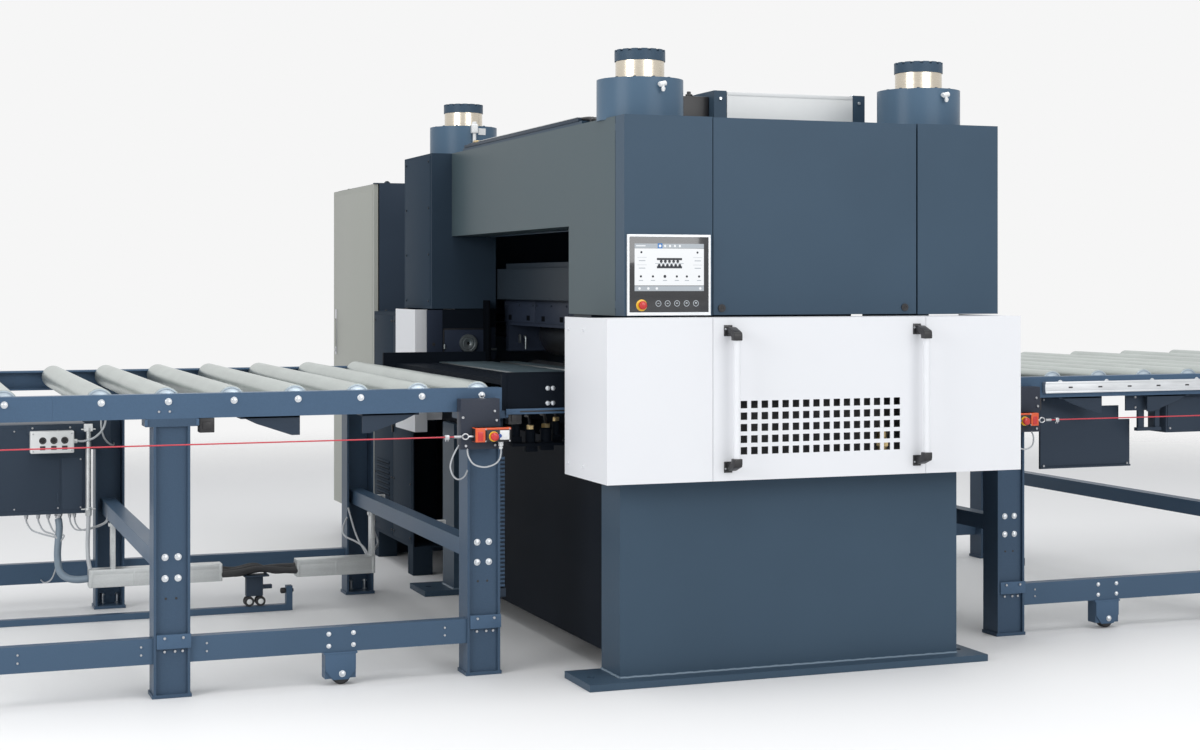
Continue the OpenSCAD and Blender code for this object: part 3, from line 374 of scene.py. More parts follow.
# Shapes of one piece, gathered in one mesh
class Kit:
    def __init__(self, title, coat, slot=None, body="frame", node=None):
        self.mesh = bmesh.new()
        self.name = title.replace(" ", "_")
        self.coat, self.slot, self.body, self.node = coat, slot or slotOf[coat], body, node
        kits.append(self)

    def join(self, part, matrix=None):
        if matrix:
            bmesh.ops.transform(part, matrix=matrix, verts=part.verts)
        data = bpy.data.meshes.new("part")
        part.to_mesh(data)
        part.free()
        self.mesh.from_mesh(data)
        bpy.data.meshes.remove(data)

    # A box between two opposite corners
    def box(self, first, second, edge=2, steps=2, matrix=None):
        low = Vector([min(pair) for pair in zip(first, second)])
        high = Vector([max(pair) for pair in zip(first, second)])
        size, middle = high - low, (low + high) / 2
        part = bmesh.new()
        bmesh.ops.create_cube(part, size=1)
        for vert in part.verts:
            vert.co = Vector((vert.co.x * size.x, vert.co.y * size.y, vert.co.z * size.z)) + middle
        width = min(edge, 0.42 * min(size))
        if width > 0:
            bevel(part, width, steps)
        self.join(part, matrix)

    # Boxes from rows of six numbers, the two corners
    def boxes(self, edge, *rows):
        for row in rows:
            self.box(row[:3], row[3:], edge)

    # Faces between rings of points, with the first and last ring closed by a face if caps
    def skin(self, rings, caps=True, edge=0, matrix=None):
        part = bmesh.new()
        rings = [[part.verts.new(spot) for spot in ring] for ring in rings]
        sides = max(map(len, rings))
        for lower, upper in zip(rings, rings[1:]):
            for i in range(sides):
                k = (i + 1) % sides
                corners = list(dict.fromkeys([lower[i % len(lower)], lower[k % len(lower)],
                                              upper[k % len(upper)], upper[i % len(upper)]]))
                if len(corners) > 2:
                    part.faces.new(corners)
        for ring in (rings[0], rings[-1]) if caps else ():
            part.faces.new(ring)
        bmesh.ops.recalc_face_normals(part, faces=part.faces[:])
        if edge:
            bevel(part, edge)
        self.join(part, matrix)

    # A turned shape: profile holds pairs of radius and distance along the axis
    def lathe(self, profile, spot, axis=up, sides=40, spin=0.0):
        angles = [spin + 2 * math.pi * i / sides for i in range(sides)]
        rings = [[(radius * math.cos(a), radius * math.sin(a), along) for a in (angles if radius else [0])]
                 for radius, along in profile]
        turn = Vector(axis).to_track_quat("Z", "Y").to_matrix().to_4x4()
        self.skin(rings, False, matrix=Matrix.Translation(Vector(spot)) @ turn)

    def disc(self, radius, spot, axis, length, edge=1, sides=40, hole=0):
        edge = min(edge, radius * 0.4, length * 0.4)
        outer = [(radius - edge, 0), (radius, edge), (radius, length - edge), (radius - edge, length)]
        closing = [(hole, length), (hole, 0)] if hole else [(0, length)]
        self.lathe([(hole, 0)] + outer + closing, spot, axis, sides)

    # A hexagon bolt head on its washer, turned by thousandths of a radian
    def bolt(self, spot, axis, radius, turn):
        washer = radius * 0.22
        self.disc(radius * 1.55, spot, axis, washer, 0.6, 28)
        head = Vector(spot) + Vector(axis).normalized() * washer
        profile = ((0, 0), (1.1, 0), (1.1, 0.62), (0.93, 0.74), (0, 0.74))
        self.lathe([(radius * a, radius * b) for a, b in profile], head, axis, 6, turn / 1000)

    # Cap screws with their sockets
    def screws(self, spots, axis, radius=6):
        profile = ((0, 0), (1, 0), (1, 0.72), (0.85, 0.9), (0.55, 0.9), (0.5, 0.405), (0, 0.405))
        for spot in spots:
            self.lathe([(radius * a, radius * b) for a, b in profile], spot, axis, 24)

    # A flat outline drawn on two axes and pushed along the third
    def prism(self, outline, axis, span, edge):
        order = {"x": (2, 0, 1), "y": (0, 2, 1)}[axis]
        self.skin([[[(a, b, c)[k] for k in order] for a, b in outline] for c in span], edge=edge)

    # A round bar bent through points, smoothed between them when smooth is over 1
    def tube(self, points, radius, sides=14, smooth=8):
        points = [Vector(p) for p in points]
        path = []
        for i, (a, b) in enumerate(zip(points, points[1:])):
            before, after = points[max(i - 1, 0)], points[min(i + 2, len(points) - 1)]
            for k in range(smooth):
                t = k / smooth
                path.append(0.5 * (2 * a + (b - before) * t + (2 * before - 5 * a + 4 * b - after) * t ** 2
                                   + (3 * a - before - 3 * b + after) * t ** 3))
        path.append(points[-1])
        side = None
        rings = []
        for i, spot in enumerate(path):
            ahead = (path[min(i + 1, len(path) - 1)] - path[max(i - 1, 0)]).normalized()
            side = side or ahead.orthogonal().normalized()
            side = (side - ahead * side.dot(ahead)).normalized()
            other = ahead.cross(side)
            turns = [2 * math.pi * k / sides for k in range(sides)]
            rings.append([spot + radius * (side * math.cos(a) + other * math.sin(a)) for a in turns])
        self.skin(rings)

    def make(self):
        toRow = Matrix.Translation(at(0, 0, 0)) @ Matrix.Scale(0.001, 4)
        bmesh.ops.transform(self.mesh, matrix=toRow, verts=self.mesh.verts)
        for face in self.mesh.faces:
            face.smooth = True
        for edge in self.mesh.edges:
            if len(edge.link_faces) == 2 and edge.calc_face_angle() > 0.7:
                edge.smooth = False
        data = bpy.data.meshes.new(self.name)
        self.mesh.to_mesh(data)
        self.mesh.free()
        data.materials.append(finish[self.coat])
        piece = bpy.data.objects.new(self.name, data)
        bpy.context.collection.objects.link(piece)
        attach(piece, self.body)
        if self.node:
            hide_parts(self.node)


# Finishes of the nodes whose shape is kept, with the width of their rounded edges in millimetres
coats = {
    "base_plates": ("slate", 2.5), "pedestals": ("slate", 3), "bed": ("night", 3), "side_frames": ("deep", 3),
    # The lift cylinders take a paint lightened by painted light
    "lift_cylinders": ("cylinder", 4), "front_housing": ("grey", 2), "top_beam": ("grey", 2),
    "rear_housing": ("deepSlate", 2), "front_covers": ("slate", 3), "fixed_guards": ("white", 1.5),
    "roof_unit": ("slate", 3), "lower_cassette": ("night", 3), "drive_train": ("dark", 3),
    # The drive housing takes its paint with painted shade
    "drive_housing": ("driveBlue", 2), "cabinet": ("dark", 2), "cabinet_door": ("door", 3),
    "hmi_panel": ("alu", 2), "hmi_stop": ("red", 2), "upper_carrier": ("deep", 3), "piston_rods": ("rod", 2),
    "rod_nuts": ("slate", 1.5), "upper_cassette": ("cheek", 3), "service_flap": ("slate", 3),
    "lock_left": ("black", 1), "lock_right": ("black", 1), "centre_guard": ("white", 1.2),
    # The legs and rails take the frame blue darkened by painted shade
    "guard_handles": ("black", 2), "table_beams": ("frameBlue", 3), "table_legs": ("shadedLegBlue", 3),
    "table_rails": ("shadedRailBlue", 3), "table_bolts": ("bolt", 1), "stop_switches": ("black", 2),
    "stop_button_in": ("red", 2), "stop_button_out": ("red", 2), "pull_wires": ("wire", 1),
    "stop_leads": ("cable", 0), "side_guides": ("night", 2), "table_services": ("dark", 3),
    "extension_rollers": ("roller", 2),
}


def coatNodes():
    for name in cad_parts:
        if name.startswith(("infeed_roller", "outfeed_roller")):
            coats[name] = ("roller", 2)
        if name.startswith(("lower_roll", "upper_roll")):
            coats[name] = ("roll", 2)
    for name, (coat, width) in coats.items():
        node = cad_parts[name]
        node.data.materials.clear()
        node.data.materials.append(finish[coat])
        if width:
            soft = node.modifiers.new("rounded edges", "BEVEL")
            soft.width = width / 1000
            soft.segments = 2
            soft.limit_method = "ANGLE"
            soft.angle_limit = math.radians(50)
            soft.harden_normals = True


coatNodes()
stage("frame nodes coated")

# The operator panel: glass, screen, keys and stop button. Places on the screen are written from its left side
# and its top
panel = {"rim": 9.5, "glass": 1.2, "layer": 0.3, "side": 31, "keyZ": 1522, "key": 12.5,
         "keyX": (142, 182, 223, 265, 306), "marks": (58, 110, 162, 214, 258, 312),
         "stopSpot": (69, 1515), "yellow": 23.5}


def makePanel():
    low, high = local("hmi_panel")
    front, top = low.y, high.z
    glassY = front - panel["glass"]
    Kit("panel glass", "glass").box((low.x + panel["rim"], glassY, low.z + 12.5),
                                    (high.x - panel["rim"], front + 0.4, top - 9), 0.8)
    left, right = panel["side"], high.x - low.x - panel["side"]
    middle = (left + right) / 2

    def plate(kit, x, z, level=1):
        y = glassY - level * panel["layer"]
        kit.box((low.x + x[0], y - panel["layer"], top - z[1]), (low.x + x[1], y + 0.1, top - z[0]), 0)

    def dots(kit, spots, z, radius, level=1):
        y = glassY - (level + 1) * panel["layer"]
        for x in spots:
            kit.disc(radius, (low.x + x, y, top - z), toBack, panel["layer"], 0, 24)

    bars = Kit("screen bars", "screenGrey", "black_plastic")
    for z in ((37, 55.5), (207.6, 227.8)):
        plate(bars, (left, right), z, 0)
    body = Kit("screen body", "screen")
    plate(body, (left, right), (56.7, 205.5), 0)
    dots(body, rowOf(163, 227.5, 4), 46.2, 4.8)
    dots(body, (52, 90, 127, right - 16), 217.5, 5.2)
    plate(body, (37.5, 78), (44, 48.2))
    dots(body, (141,), 46.2, 5.5, 2)
    plate(Kit("screen tab", "screenBlue"), (130.5, 151.5), (35.7, 56.7))
    drawn = Kit("screen drawing", "screenDark")
    for z, side, reach, count in ((100, 1, 36, 5), (133, -1, 45, 6)):
        plate(drawn, (middle - 55, middle + 55), (z - 5.5, z + 3.5))
        dots(drawn, rowOf(middle - reach, middle + reach, count), z + side * 8.5, 6.2)
    for i, x in enumerate(panel["marks"]):
        dots(drawn, (x,), 169, 6.2 if i == 2 else 4.8)
    dots(drawn, (60, 305), 72, 4.5)
    thin = Kit("screen lines", "screenGrey")
    for x in panel["marks"]:
        plate(thin, (x - 9, x + 9), (183.5, 186.8))
    for x, z in product((43, 286), (92, 122)):
        plate(thin, (x, x + 40), (z, z + 1.2))
        plate(thin, (x + 6, x + 34), (z + 12, z + 15.5))
    plate(thin, (middle - 62, middle + 62), (115.5, 118.3))
    keys = Kit("panel keys", "screenGrey")
    y, z = glassY - 0.6, panel["keyZ"]
    for i, x in enumerate(panel["keyX"]):
        keys.disc(panel["key"], (x, y, z), toBack, 0.8, 0.2, 36, panel["key"] * 0.8)
        keys.box((x - 4, y, z - 1.2), (x + 4, y + 0.8, z + 1.2 + i), 0.2)
    x, z = panel["stopSpot"]
    wide = panel["yellow"]
    Kit("stop ring", "yellow", "red_plastic").lathe(
        [(12.5, 0), (wide, 0), (wide, 2), (wide - 3, 3.2), (12.5, 3.4), (12.5, 0)], (x, front, z), toFront, 44)


# A stop button: stem, collar and domed head
def makeStop(name, node, body, radius=17):
    low, high = local(node)
    length = high.y - low.y
    middle = (low + high) / 2
    Kit(name, "red", body=body, node=node).lathe(
        [(0, length), (9.8, length), (9.8, 18), (12.5, 16.5), (radius * 0.93, 15.5), (radius, 13),
         (radius, 7.5), (radius * 0.93, 3.5), (radius * 0.72, 1), (radius * 0.4, 0), (0, 0)],
        (middle.x, low.y, middle.z), toBack, 44)


makePanel()
makeStop("panel stop button", "hmi_stop", "panel_stop")
makeStop("infeed stop button", "stop_button_in", "table_stop_in")
makeStop("outfeed stop button", "stop_button_out", "table_stop_out")
stage("operator panel")

# The lift cylinders: seals, fittings, and the valve and plate of the rear one
lift = {"rod": 102, "radius": 181, "fittingDrop": 30, "fittingX": 17, "screwRing": 152,
        "valve": (176, 2684, 2405), "plate": (172, 2865), "plateZ": (2400, 2435)}


def makeLift():
    low, high = local("lift_cylinders")
    rod, radius = lift["rod"], lift["radius"]
    spots = list(product((low.x + radius, high.x - radius), (low.y + radius, high.y - radius)))
    seal, lip = Kit("rod seals", "soft"), Kit("gland rings", "dark", "slate_paint")
    top = Kit("rod centres", "steel", "rod_metal", "press")
    fit = Kit("lift fittings", "whitePlastic", "bolt_zinc")
    sealShape = ((0.5, -4), (4.2, -4), (4.2, 1.5), (0.5, 3), (0.5, -4))
    lipShape = ((4.5, 0), (30, 0), (28, 3.5), (6.5, 3.5), (4.5, 0))
    for x, y in spots:
        for kit, shape in ((seal, sealShape), (lip, lipShape)):
            kit.lathe([(rod + a, b) for a, b in shape], (x, y, high.z), sides=64)
        lip.screws([(x + lift["screwRing"] * math.cos(a), y + lift["screwRing"] * math.sin(a), high.z)
                    for a in [math.pi * i / 6 for i in range(12)]], up, 6.5)
        top.lathe([(0, 0), (50, 0), (50, 4), (20, 6), (20, 16), (0, 18)], (x, y, local("piston_rods")[1].z))
        side = -1 if y < 1000 else 1
        if side > 0 and x < 500:
            continue
        turned = math.sqrt(radius ** 2 - lift["fittingX"] ** 2)
        base = Vector((x + lift["fittingX"], y + side * turned, high.z - lift["fittingDrop"]))
        out = Vector((0.1, side, 0)).normalized()
        fit.disc(10, base - out * 4, out, 12, 1, 28)
        fit.disc(6.5, base, out, 22, 1, 20)
        head = base + out * 20
        fit.disc(10.5, head + Vector((-12, 0, -4)), (1, 0.1, 0.25), 30, 2, 24)
        fit.disc(6.5, head + Vector((2, 0, -2)), (0.1, 0, -1), 30, 2, 20)
        fit.disc(8.5, head + Vector((4, 0, -16)), (0.1, 0, -1), 10, 1, 6)
    valve = Kit("lift valve", "whitePlastic", "bolt_zinc")
    x, y, z = lift["valve"]
    valve.box((x - 17, y - 30, z), (x + 17, y + 4, z + 50), 6, 3)
    y -= 14
    valve.disc(12, (x, y, z + 50), up, 12, 2, 28)
    valve.tube([(x, y, z + 5), (x, y, z - 45), (x, y, z - 120)], 9.5, 16, 3)
    valve.disc(14, (x, y, z - 122), up, 12, 2, 6)
    plate = Kit("lift plate", "whitePlastic")
    x, y = lift["plate"]
    angles = [math.radians(-80 + 2.9 * i) for i in range(6)]
    for a, b in zip(angles, angles[1:]):
        plate.skin([[(x + r * math.cos(t), y + r * math.sin(t), z) for r, t in
                     ((radius + 1.2, a), (radius + 1.2, b), (radius, b), (radius, a))]
                    for z in lift["plateZ"]])


makeLift()
stage("lift cylinders")

# The roof: hydraulic block behind its light panel, vents and cable tray
roof = {"front": 560, "panel": (702, 1323), "block": (480, 639), "vents": (740, 1290), "tray": (60, 200),
        "trayY": (700, 2455), "cable": 9, "cableX": (88, 110, 132, 154, 174), "posts": (670, 1355)}


def makeRoof():
    low, high = local("roof_unit")
    deck, front = low.z, roof["front"]
    cover = Kit("roof panel", "whitePlastic")
    a, b = roof["panel"]
    cover.box((a, front - 2, deck + 1), (b, front + 6.5, deck + 166))
    cover.box((a + 2, front - 3.5, deck + 150), (b - 2, front, deck + 165.5), 1)
    block = Kit("valve block", "black")
    a, b = roof["block"]
    block.box((a - 2, front + 52, deck + 0.5), (b, front + 345, deck + 146), 4)
    for x in (515, 560, 605):
        block.disc(16, (x, front + 200, deck + 140), up, 30, 2, 24)
        block.disc(10, (x, front + 200, deck + 168), up, 14, 2, 6)
    fast = Kit("roof screws", "bolt")
    fast.screws(product(roof["posts"], (front,), (deck + 30, deck + 135)), toFront, 7)
    for x, y in product(roof["posts"], (620, 840)):
        fast.bolt((x, y, high.z), up, 8, 300)
    hood = Kit("roof vents", "dark", "slate_paint")
    for y in rowOf(front + 60, front + 288, 7):
        hood.box((roof["vents"][0], y, deck + 163), (roof["vents"][1], y + 14, deck + 166.8), 1.2)
    tray = Kit("tray sides", "dark", "slate_paint")
    (a, b), (near, far) = roof["tray"], roof["trayY"]
    for x in (a - 4, b - 12):
        tray.box((x, near, deck + 27.8), (x + 16, far, deck + 42), 1)
    for y in rowOf(near + 80, far - 75, 9):
        tray.box((a, y, deck + 30), (b, y + 12, deck + 44), 1)
    runs = Kit("tray hoses", "soft")
    for i, x in enumerate(roof["cableX"]):
        sway = 4 * (-1) ** i
        runs.tube([(x + dx, y, deck + z) for dx, y, z in (
            (0, 620, 12), (sway, 700, 40), (-sway, 1400, 41), (sway, 2100, 40), (-sway, 2460, 41),
            (10, 2600, 12))], roof["cable"], 10, 6)
    Kit("tray lid", "alu", "bolt_zinc").box((a + 18, near + 80, deck + 49.5),
                                            (b - 16, far - 175, deck + 53), 1)
    ends = Kit("hose ends", "brass")
    for x in (100, 128, 156):
        ends.disc(11, (x, 2360, deck + 52), (0, 1, 0.1), 50, 2, 6)


makeRoof()
stage("roof")

# Handles of the centre guard, screws of the guards, and what the grille hides: ribs before a dark sheet of
# painted shade
guard = {"tube": 13.5, "arm": 30, "out": 62, "screw": 5.5}


def makeGuards():
    low, high = local("guard_handles")
    wallLow, wallHigh = local("centre_guard")
    front, half = wallLow.y, guard["arm"] / 2
    reach = front - guard["out"]
    tubes = Kit("handle tubes", "white", body="centre_guard")
    arms = Kit("handle brackets", "black", body="centre_guard", node="guard_handles")
    screws = Kit("handle screws", "bolt", body="centre_guard")
    for x in (low.x + half, high.x - half):
        tubes.disc(guard["tube"], (x + 8, reach, low.z + half + 6), up, high.z - low.z - guard["arm"] - 12,
                   1, 36)
        for z, side in ((low.z + half, -1), (high.z - half, 1)):
            outline = [(front + 0.5, 18), (front - 20, 18), (reach - 13, -1),
                       (reach - 17, -12), (reach - 17, -34), (reach + 14, -34),
                       (reach + 16, -18), (front - 22, -10), (front + 0.5, -12)]
            arms.prism([(y, z + side * rise) for y, rise in outline[::side]], "x", (x - 12, x + 24), 3)
            foot = z + side * 4
            arms.box((x - 22, front - 4, foot - 22), (x + 14, front + 0.4, foot + 22))
            screws.screws([(x - 16, front - 3, z + side * 10)], toFront, 4)
    fixed = Kit("guard screws", "white")
    for x, axis in ((-152, toLeft), (1712, toRight)):
        fixed.screws(product((x,), (60, 240), (wallLow.z + 50, wallHigh.z - 50)), axis, guard["screw"])
    # A black sheet behind the grille stands for the shade inside: painted shade. The other boxes are parts
    # seen through the grille
    dark = Kit("grille shade screen", "soft")
    dark.boxes(2, (330, -105, 860, 1220, -95, 1440), (300, -180, 900, 320, -100, 1420),
               *[(x, -130, 900, x + 25, -104, 1200) for x in rowOf(360, 1060, 6)])
    inner = Kit("inner filter", "brass")
    inner.disc(20, (1090, -140, 900), up, 110, 3, 28)
    inner.disc(27, (1090, -140, 930), up, 30, 3, 6)


makeGuards()
stage("guards")

# Welds round the pedestals, and the locks' inserts
weld = {"bead": 5.5, "step": 16, "depth": 209}


def makeWelds():
    low, high = local("pedestals")
    base = local("base_plates")[1].z
    # The weld beads take a lighter paint: painted highlight
    kit = Kit("pedestal welds", "weldPaint")
    for y in (low.y, high.y - weld["depth"]):
        far = y + weld["depth"]
        corners = [(low.x, y), (high.x, y), (high.x, far), (low.x, far), (low.x, y)]
        for (x1, y1), (x2, y2) in zip(corners, corners[1:]):
            count = int(math.hypot(x2 - x1, y2 - y1) / weld["step"])
            kit.tube([(x1 + (x2 - x1) * i / count, y1 + (y2 - y1) * i / count,
                       base + 1.2 + 0.9 * math.sin(i * 2.1) + 0.5 * math.sin(i * 5.3))
                      for i in range(count + 1)], weld["bead"], 8, 1)
    for name in ("lock_left", "lock_right"):
        low, high = local(name)
        x, z = (low.x + high.x) / 2, low.z + 16
        insert = Kit(name + " insert", "soft", body=name)
        insert.lathe([(0, 0), (6, 0), (6.5, 1.2), (10.5, 1.6), (11.2, 0)], (x, low.y + 0.2, z), toFront, 32)
        insert.box((x - 5, low.y - 2.6, z - 1.1), (x + 5, low.y - 0.5, z + 1.1), 0.4)


makeWelds()
stage("welds and locks")

# The roller tables: bolts, leg trim, gussets and wheels
table = {"face": 360, "far": 2660, "web": 374, "axle": 1146, "boltZ": (461, 543), "holeZ": 383,
         "clamp": (-59, 73), "clampZ": (187, 246), "jacks": (-27, 44), "under": 1079.5,
         "legs": (-477, -1735, 2027, 3285, 5023.3), "wheels": (-1071, 2551), "pitch": 252.5,
         "plainRollers": (3905, 4259, 4613, 4967, -2355.3)}
rollers = [first + way * i * table["pitch"] for first, way in ((-486, -1), (2036, 1)) for i in range(7)]
rollers += table["plainRollers"]


def makeTableBolts():
    near, far, web = table["face"], table["far"], table["web"] - table["face"]
    kit = Kit("hexagon bolts", "bolt", node="table_bolts")
    spots = [(x, 0, table["axle"], x) for x in rollers]
    spots += [(x, web, z, x * 7 + z) for leg in table["legs"] for x in (leg - 25, leg + 25)
              for z in table["boltZ"]]
    for x, depth, z, spin in spots:
        kit.bolt((x, near + depth, z), toFront, 8.8, spin)
        kit.bolt((x, far - depth, z), toBack, 8.8, spin)
    small = Kit("cap screws", "steel", "bolt_zinc")
    for leg, (places, y, z, radius) in product(table["legs"], (
            ((-29, 42), near - 6, 233, 5.5), ((-27, 13, 42), near + web, 178, 5.5),
            ((-50, -9), near, 1108, 4.8))):
        small.screws([(leg + x, y, z) for x in places], toFront, radius)
    small.screws(product((-2307, -1851, -1600, -640, 2160, 3150), (near + 12,), (171, 202)), toFront, 4.5)


def makeLegTrim():
    near, under = table["face"], table["under"]
    blocks, jacks = Kit("leg clamp blocks", "frameBlue"), Kit("leg jack screws", "bolt")
    holes, pads = Kit("leg small hole shade", "black"), Kit("beam clamps", "black", "dark_paint")
    gusset = Kit("beam gussets", "dark")
    for leg in table["legs"]:
        for side, y in ((-1, near), (1, table["far"])):
            blocks.box((leg + table["clamp"][0], y - side * 12, table["clampZ"][0] + 4),
                       (leg + table["clamp"][1], y + side * 6, table["clampZ"][1]), 3)
            for x in (leg - 104, leg + 92):
                blocks.box((x, y, 1052), (x + 12, y + side * 4, 1078))
            for x in (leg + table["jacks"][0], leg + table["jacks"][1]):
                spot = y - side * 28
                jacks.disc(7.5, (x, spot, 13.5), up, 50, 1, 18)
                jacks.bolt((x, spot, 14), up, 8.5, x)
                jacks.bolt((x, spot, 56), up, 8.5, x + 1000)
        # The small holes are black discs: painted shade
        for x in (leg - 22, leg + 18):
            holes.disc(4.8, (x, table["web"] + 0.4, table["holeZ"]), toFront, 1.2, 0.3, 18)
        pads.boxes(3, (leg + 106, near + 4, 1022, leg + 164, near + 60, under),
                   (leg + 118, near - 1, 1034, leg + 152, near + 6, 1064))
    for leg, side in zip(table["legs"], (-1, 1, 1, -1)):
        x = [leg + side * reach for reach in (268, 503, 503, 470, 330)]
        gusset.prism(list(zip(x, (under, under, 1002, 1002, 1050))), "y", (near + 20, near + 28), 2)
        gusset.box((x[0], near + 20, 1070), (x[1], near + 120, under))


def makeWheelBoxes():
    y = table["face"] + 12
    fork, bolts = Kit("wheel forks", "frameBlue"), Kit("wheel fork bolts", "bolt")
    wheel = Kit("table wheels", "black")
    for x in table["wheels"]:
        low, high = x - 62, x + 62
        fork.prism([(low, 132), (high, 132), (high, 62), (high - 30, 22), (low + 30, 22),
                    (low, 62)], "y", (y - 7, y - 0.5), 2)
        fork.box((low - 6, y - 8, 124), (high + 6, y + 60, 132.8))
        for dx, z in product((-47, 53), (158, 206)):
            bolts.bolt((x + dx, y, z), toFront, 6.2, z * 30)
        bolts.bolt((x + 6, y - 7, 46), toFront, 8.8, x)
        wheel.disc(40, (x + 6, y + 10, 40.5), toBack, 38, 6, 40, 10)


makeTableBolts()
makeLegTrim()
makeWheelBoxes()
stage("table trim")

# The pull wire switch of each table. Places are written from its front and the middle of its stop button,
# along the way to the wire
pull = {"y": 240, "plate": 300, "z": (930, 1134), "wide": 164, "wire": 985, "wireY": 270, "beam": 359.7,
        "hook": 1087}


def makeSwitch(name, low, way, wireEnd):
    middle, high = low + 82 - way * 38, low + pull["wide"]
    front, plate, beam = pull["y"], pull["plate"], pull["beam"]
    bottom, top = pull["z"]
    y, z = pull["wireY"], pull["wire"]

    def part(title, coat, slot=None, node="stop_switches"):
        return Kit(name + " " + title, coat, slot, node=node)

    def boxes(kit, edge, steps, *rows):
        for x0, y0, z0, x1, y1, z1 in rows:
            kit.box((middle + way * x0, front + y0, z0), (middle + way * x1, front + y1, z1), edge, steps)

    # The bracket takes the frame blue darkened by painted shade
    mount = part("bracket", "plateBlue")
    mount.boxes(2, (low, plate, bottom, high, plate + 6, top),
                *[(x, plate + 2, bottom, x + 6, beam, top) for x in (low, high - 6)],
                (low + 4, plate + 4, top - 6, high - 4, beam, top))
    box = part("switch body", "black")
    boxes(box, 5, 3, (-75, 6, 962, 75, 60, 1020))
    boxes(box, 4, 3, (-68, 0, 967, 30, 10, 1012))
    boxes(box, 0.4, 2, *[(x - 1.2, -0.5, 962.5, x + 1.2, 10, 966.5) for x in (-60, -30, 0, 30)])
    cover = part("switch cover", "orange")
    boxes(cover, 3, 3, (-74.8, 2, 1011, 74.8, 57, 1020))
    boxes(cover, 4, 3, (34, 1, 962.2, 74.8, 58, 1019))
    trim = part("plate and gland", "whitePlastic")
    boxes(trim, 1.2, 2, (-66, -1.2, 971, -26, 3, 1009))
    gland = low + (160 if way < 0 else 6)
    trim.disc(10.5, (gland, 272, 962.5), down, 20, 2, 8)
    trim.disc(8, (gland, 272, 942.5), down, 12, 3, 24)
    part("stop ring", "yellow").disc(20.5, (middle, front + 0.8, z), toFront, 1.8, 0.6, 40, 12.5)
    part("reset key", "blue").disc(8, (middle - way * 25.8, front + 2, z + 2), toFront, 6.2, 1.8, 28)
    boxes(part("wire window", "red"), 2, 2, (44, -0.6, 968, 66, 4, 1005))
    screws = part("screws", "steel", "bolt_zinc")
    screws.screws(product((middle - way * 68, middle + way * 32), (front + 4,), (1014, 966)), toFront, 3.6)
    screws.screws([(x, plate, rise) for x, rise in (
        (low + 8, 1060), (high - 14, 1046), (high - 22, 1084), (low + 20, 945),
        (high - 20, 945))], toFront, 5.5)

    # The wire with its eye, clamps and anchor
    start, end = middle + way * 75.6, wireEnd - way * 22
    along = (way, 0, 0)
    line = part("pull wire", "wire", node="pull_wires")
    line.tube([(start + way * 60, y, z), (wireEnd - way * 60, y, z)], 2.8, 12, 2)
    metal = part("wire eye and clamps", "steel", node="pull_wires")
    for x, radius, length, sides in ((start, 4.5, 22, 16), (start + way * 52, 6, 30, 6),
                                     (end, 4.8, 22, 16), (end - way * 36, 6, 30, 6)):
        metal.disc(radius, (x, y, z), along, length, 1, sides)
    metal.tube([(start + way * (34 + 13 * math.cos(a)), y, z + 11 * math.sin(a))
                for a in rowOf(math.pi, 3 * math.pi, 13)], 3.2, 10, 2)
    clamp = start + way * 112
    metal.box((clamp - 9, y - 7.5, z - 10), (clamp + 9, y + 7.5, z + 8))
    for x in (clamp - 5, clamp + 5):
        metal.disc(2.2, (x, y, z - 17), up, 26, 0.6, 10)
    metal.bolt((wireEnd + way * 6, y, z), along, 7.5, 200)
    part("wire anchor", "dark", "slate_paint", "pull_wires").boxes(
        1.5, (wireEnd, y - 15, z - 29, wireEnd + way * 6, beam, pull["hook"]),
        (wireEnd, beam - 6, z - 20, wireEnd - way * 30, beam, pull["hook"]))


# The grey leads of the switches, as x, depth behind the wire and z. Each loops under its switch and back up
leads = (((-432, 0, 934), (-432, 0, 915), (-440, -4, 890), (-462, -6, 870),
          (-505, -4, 860), (-545, 4, 872), (-563, 16, 900), (-566, 26, 924), (-560, 42, 940)),
         ((-588, 60, 948), (-606, 50, 930), (-626, 40, 896), (-634, 40, 862),
          (-622, 44, 826), (-597, 54, 808), (-566, 75, 816), (-544, 95, 842)),
         ((1984, 0, 934), (1984, 0, 915), (1990, 0, 886), (2012, -4, 862), (2046, -4, 856),
          (2082, 4, 870), (2098, 16, 900), (2098, 26, 924), (2094, 42, 940)))


def makeLeads():
    kit = Kit("switch leads", "cable", node="stop_leads")
    for route in leads:
        kit.tube([(x, pull["wireY"] + depth, z) for x, depth, z in route], 3.4)


makeSwitch("infeed", -592, -1, -2494)
makeSwitch("outfeed", 1978, 1, 5088.3)
makeLeads()
stage("pull wire switches")

# Under the infeed table: cabinet, control box, hoses, cable ducts and the wheel carriage
service = {"cabinet": ((-2440, -1870), (2336, 2536), (500, 930)), "box": ((-2130, -1930), 2268, (797, 901)),
           "sockets": (-2075, -2024, -1974), "pipe": (-1861, 2302), "ducts": ((-1873, -1247), (-885, -492)),
           "ductY": (2152, 2228), "ductZ": (165, 247), "wheels": (-1113, -1058), "wheelZ": 54.5,
           "glands": ((-2142, 10), (-2087, 10), (-2040, 11), (-1993, 19), (-1941, 9), (-1919, 9))}


def servicePart(title, coat, slot=None):
    return Kit(title, coat, slot, node="table_services")


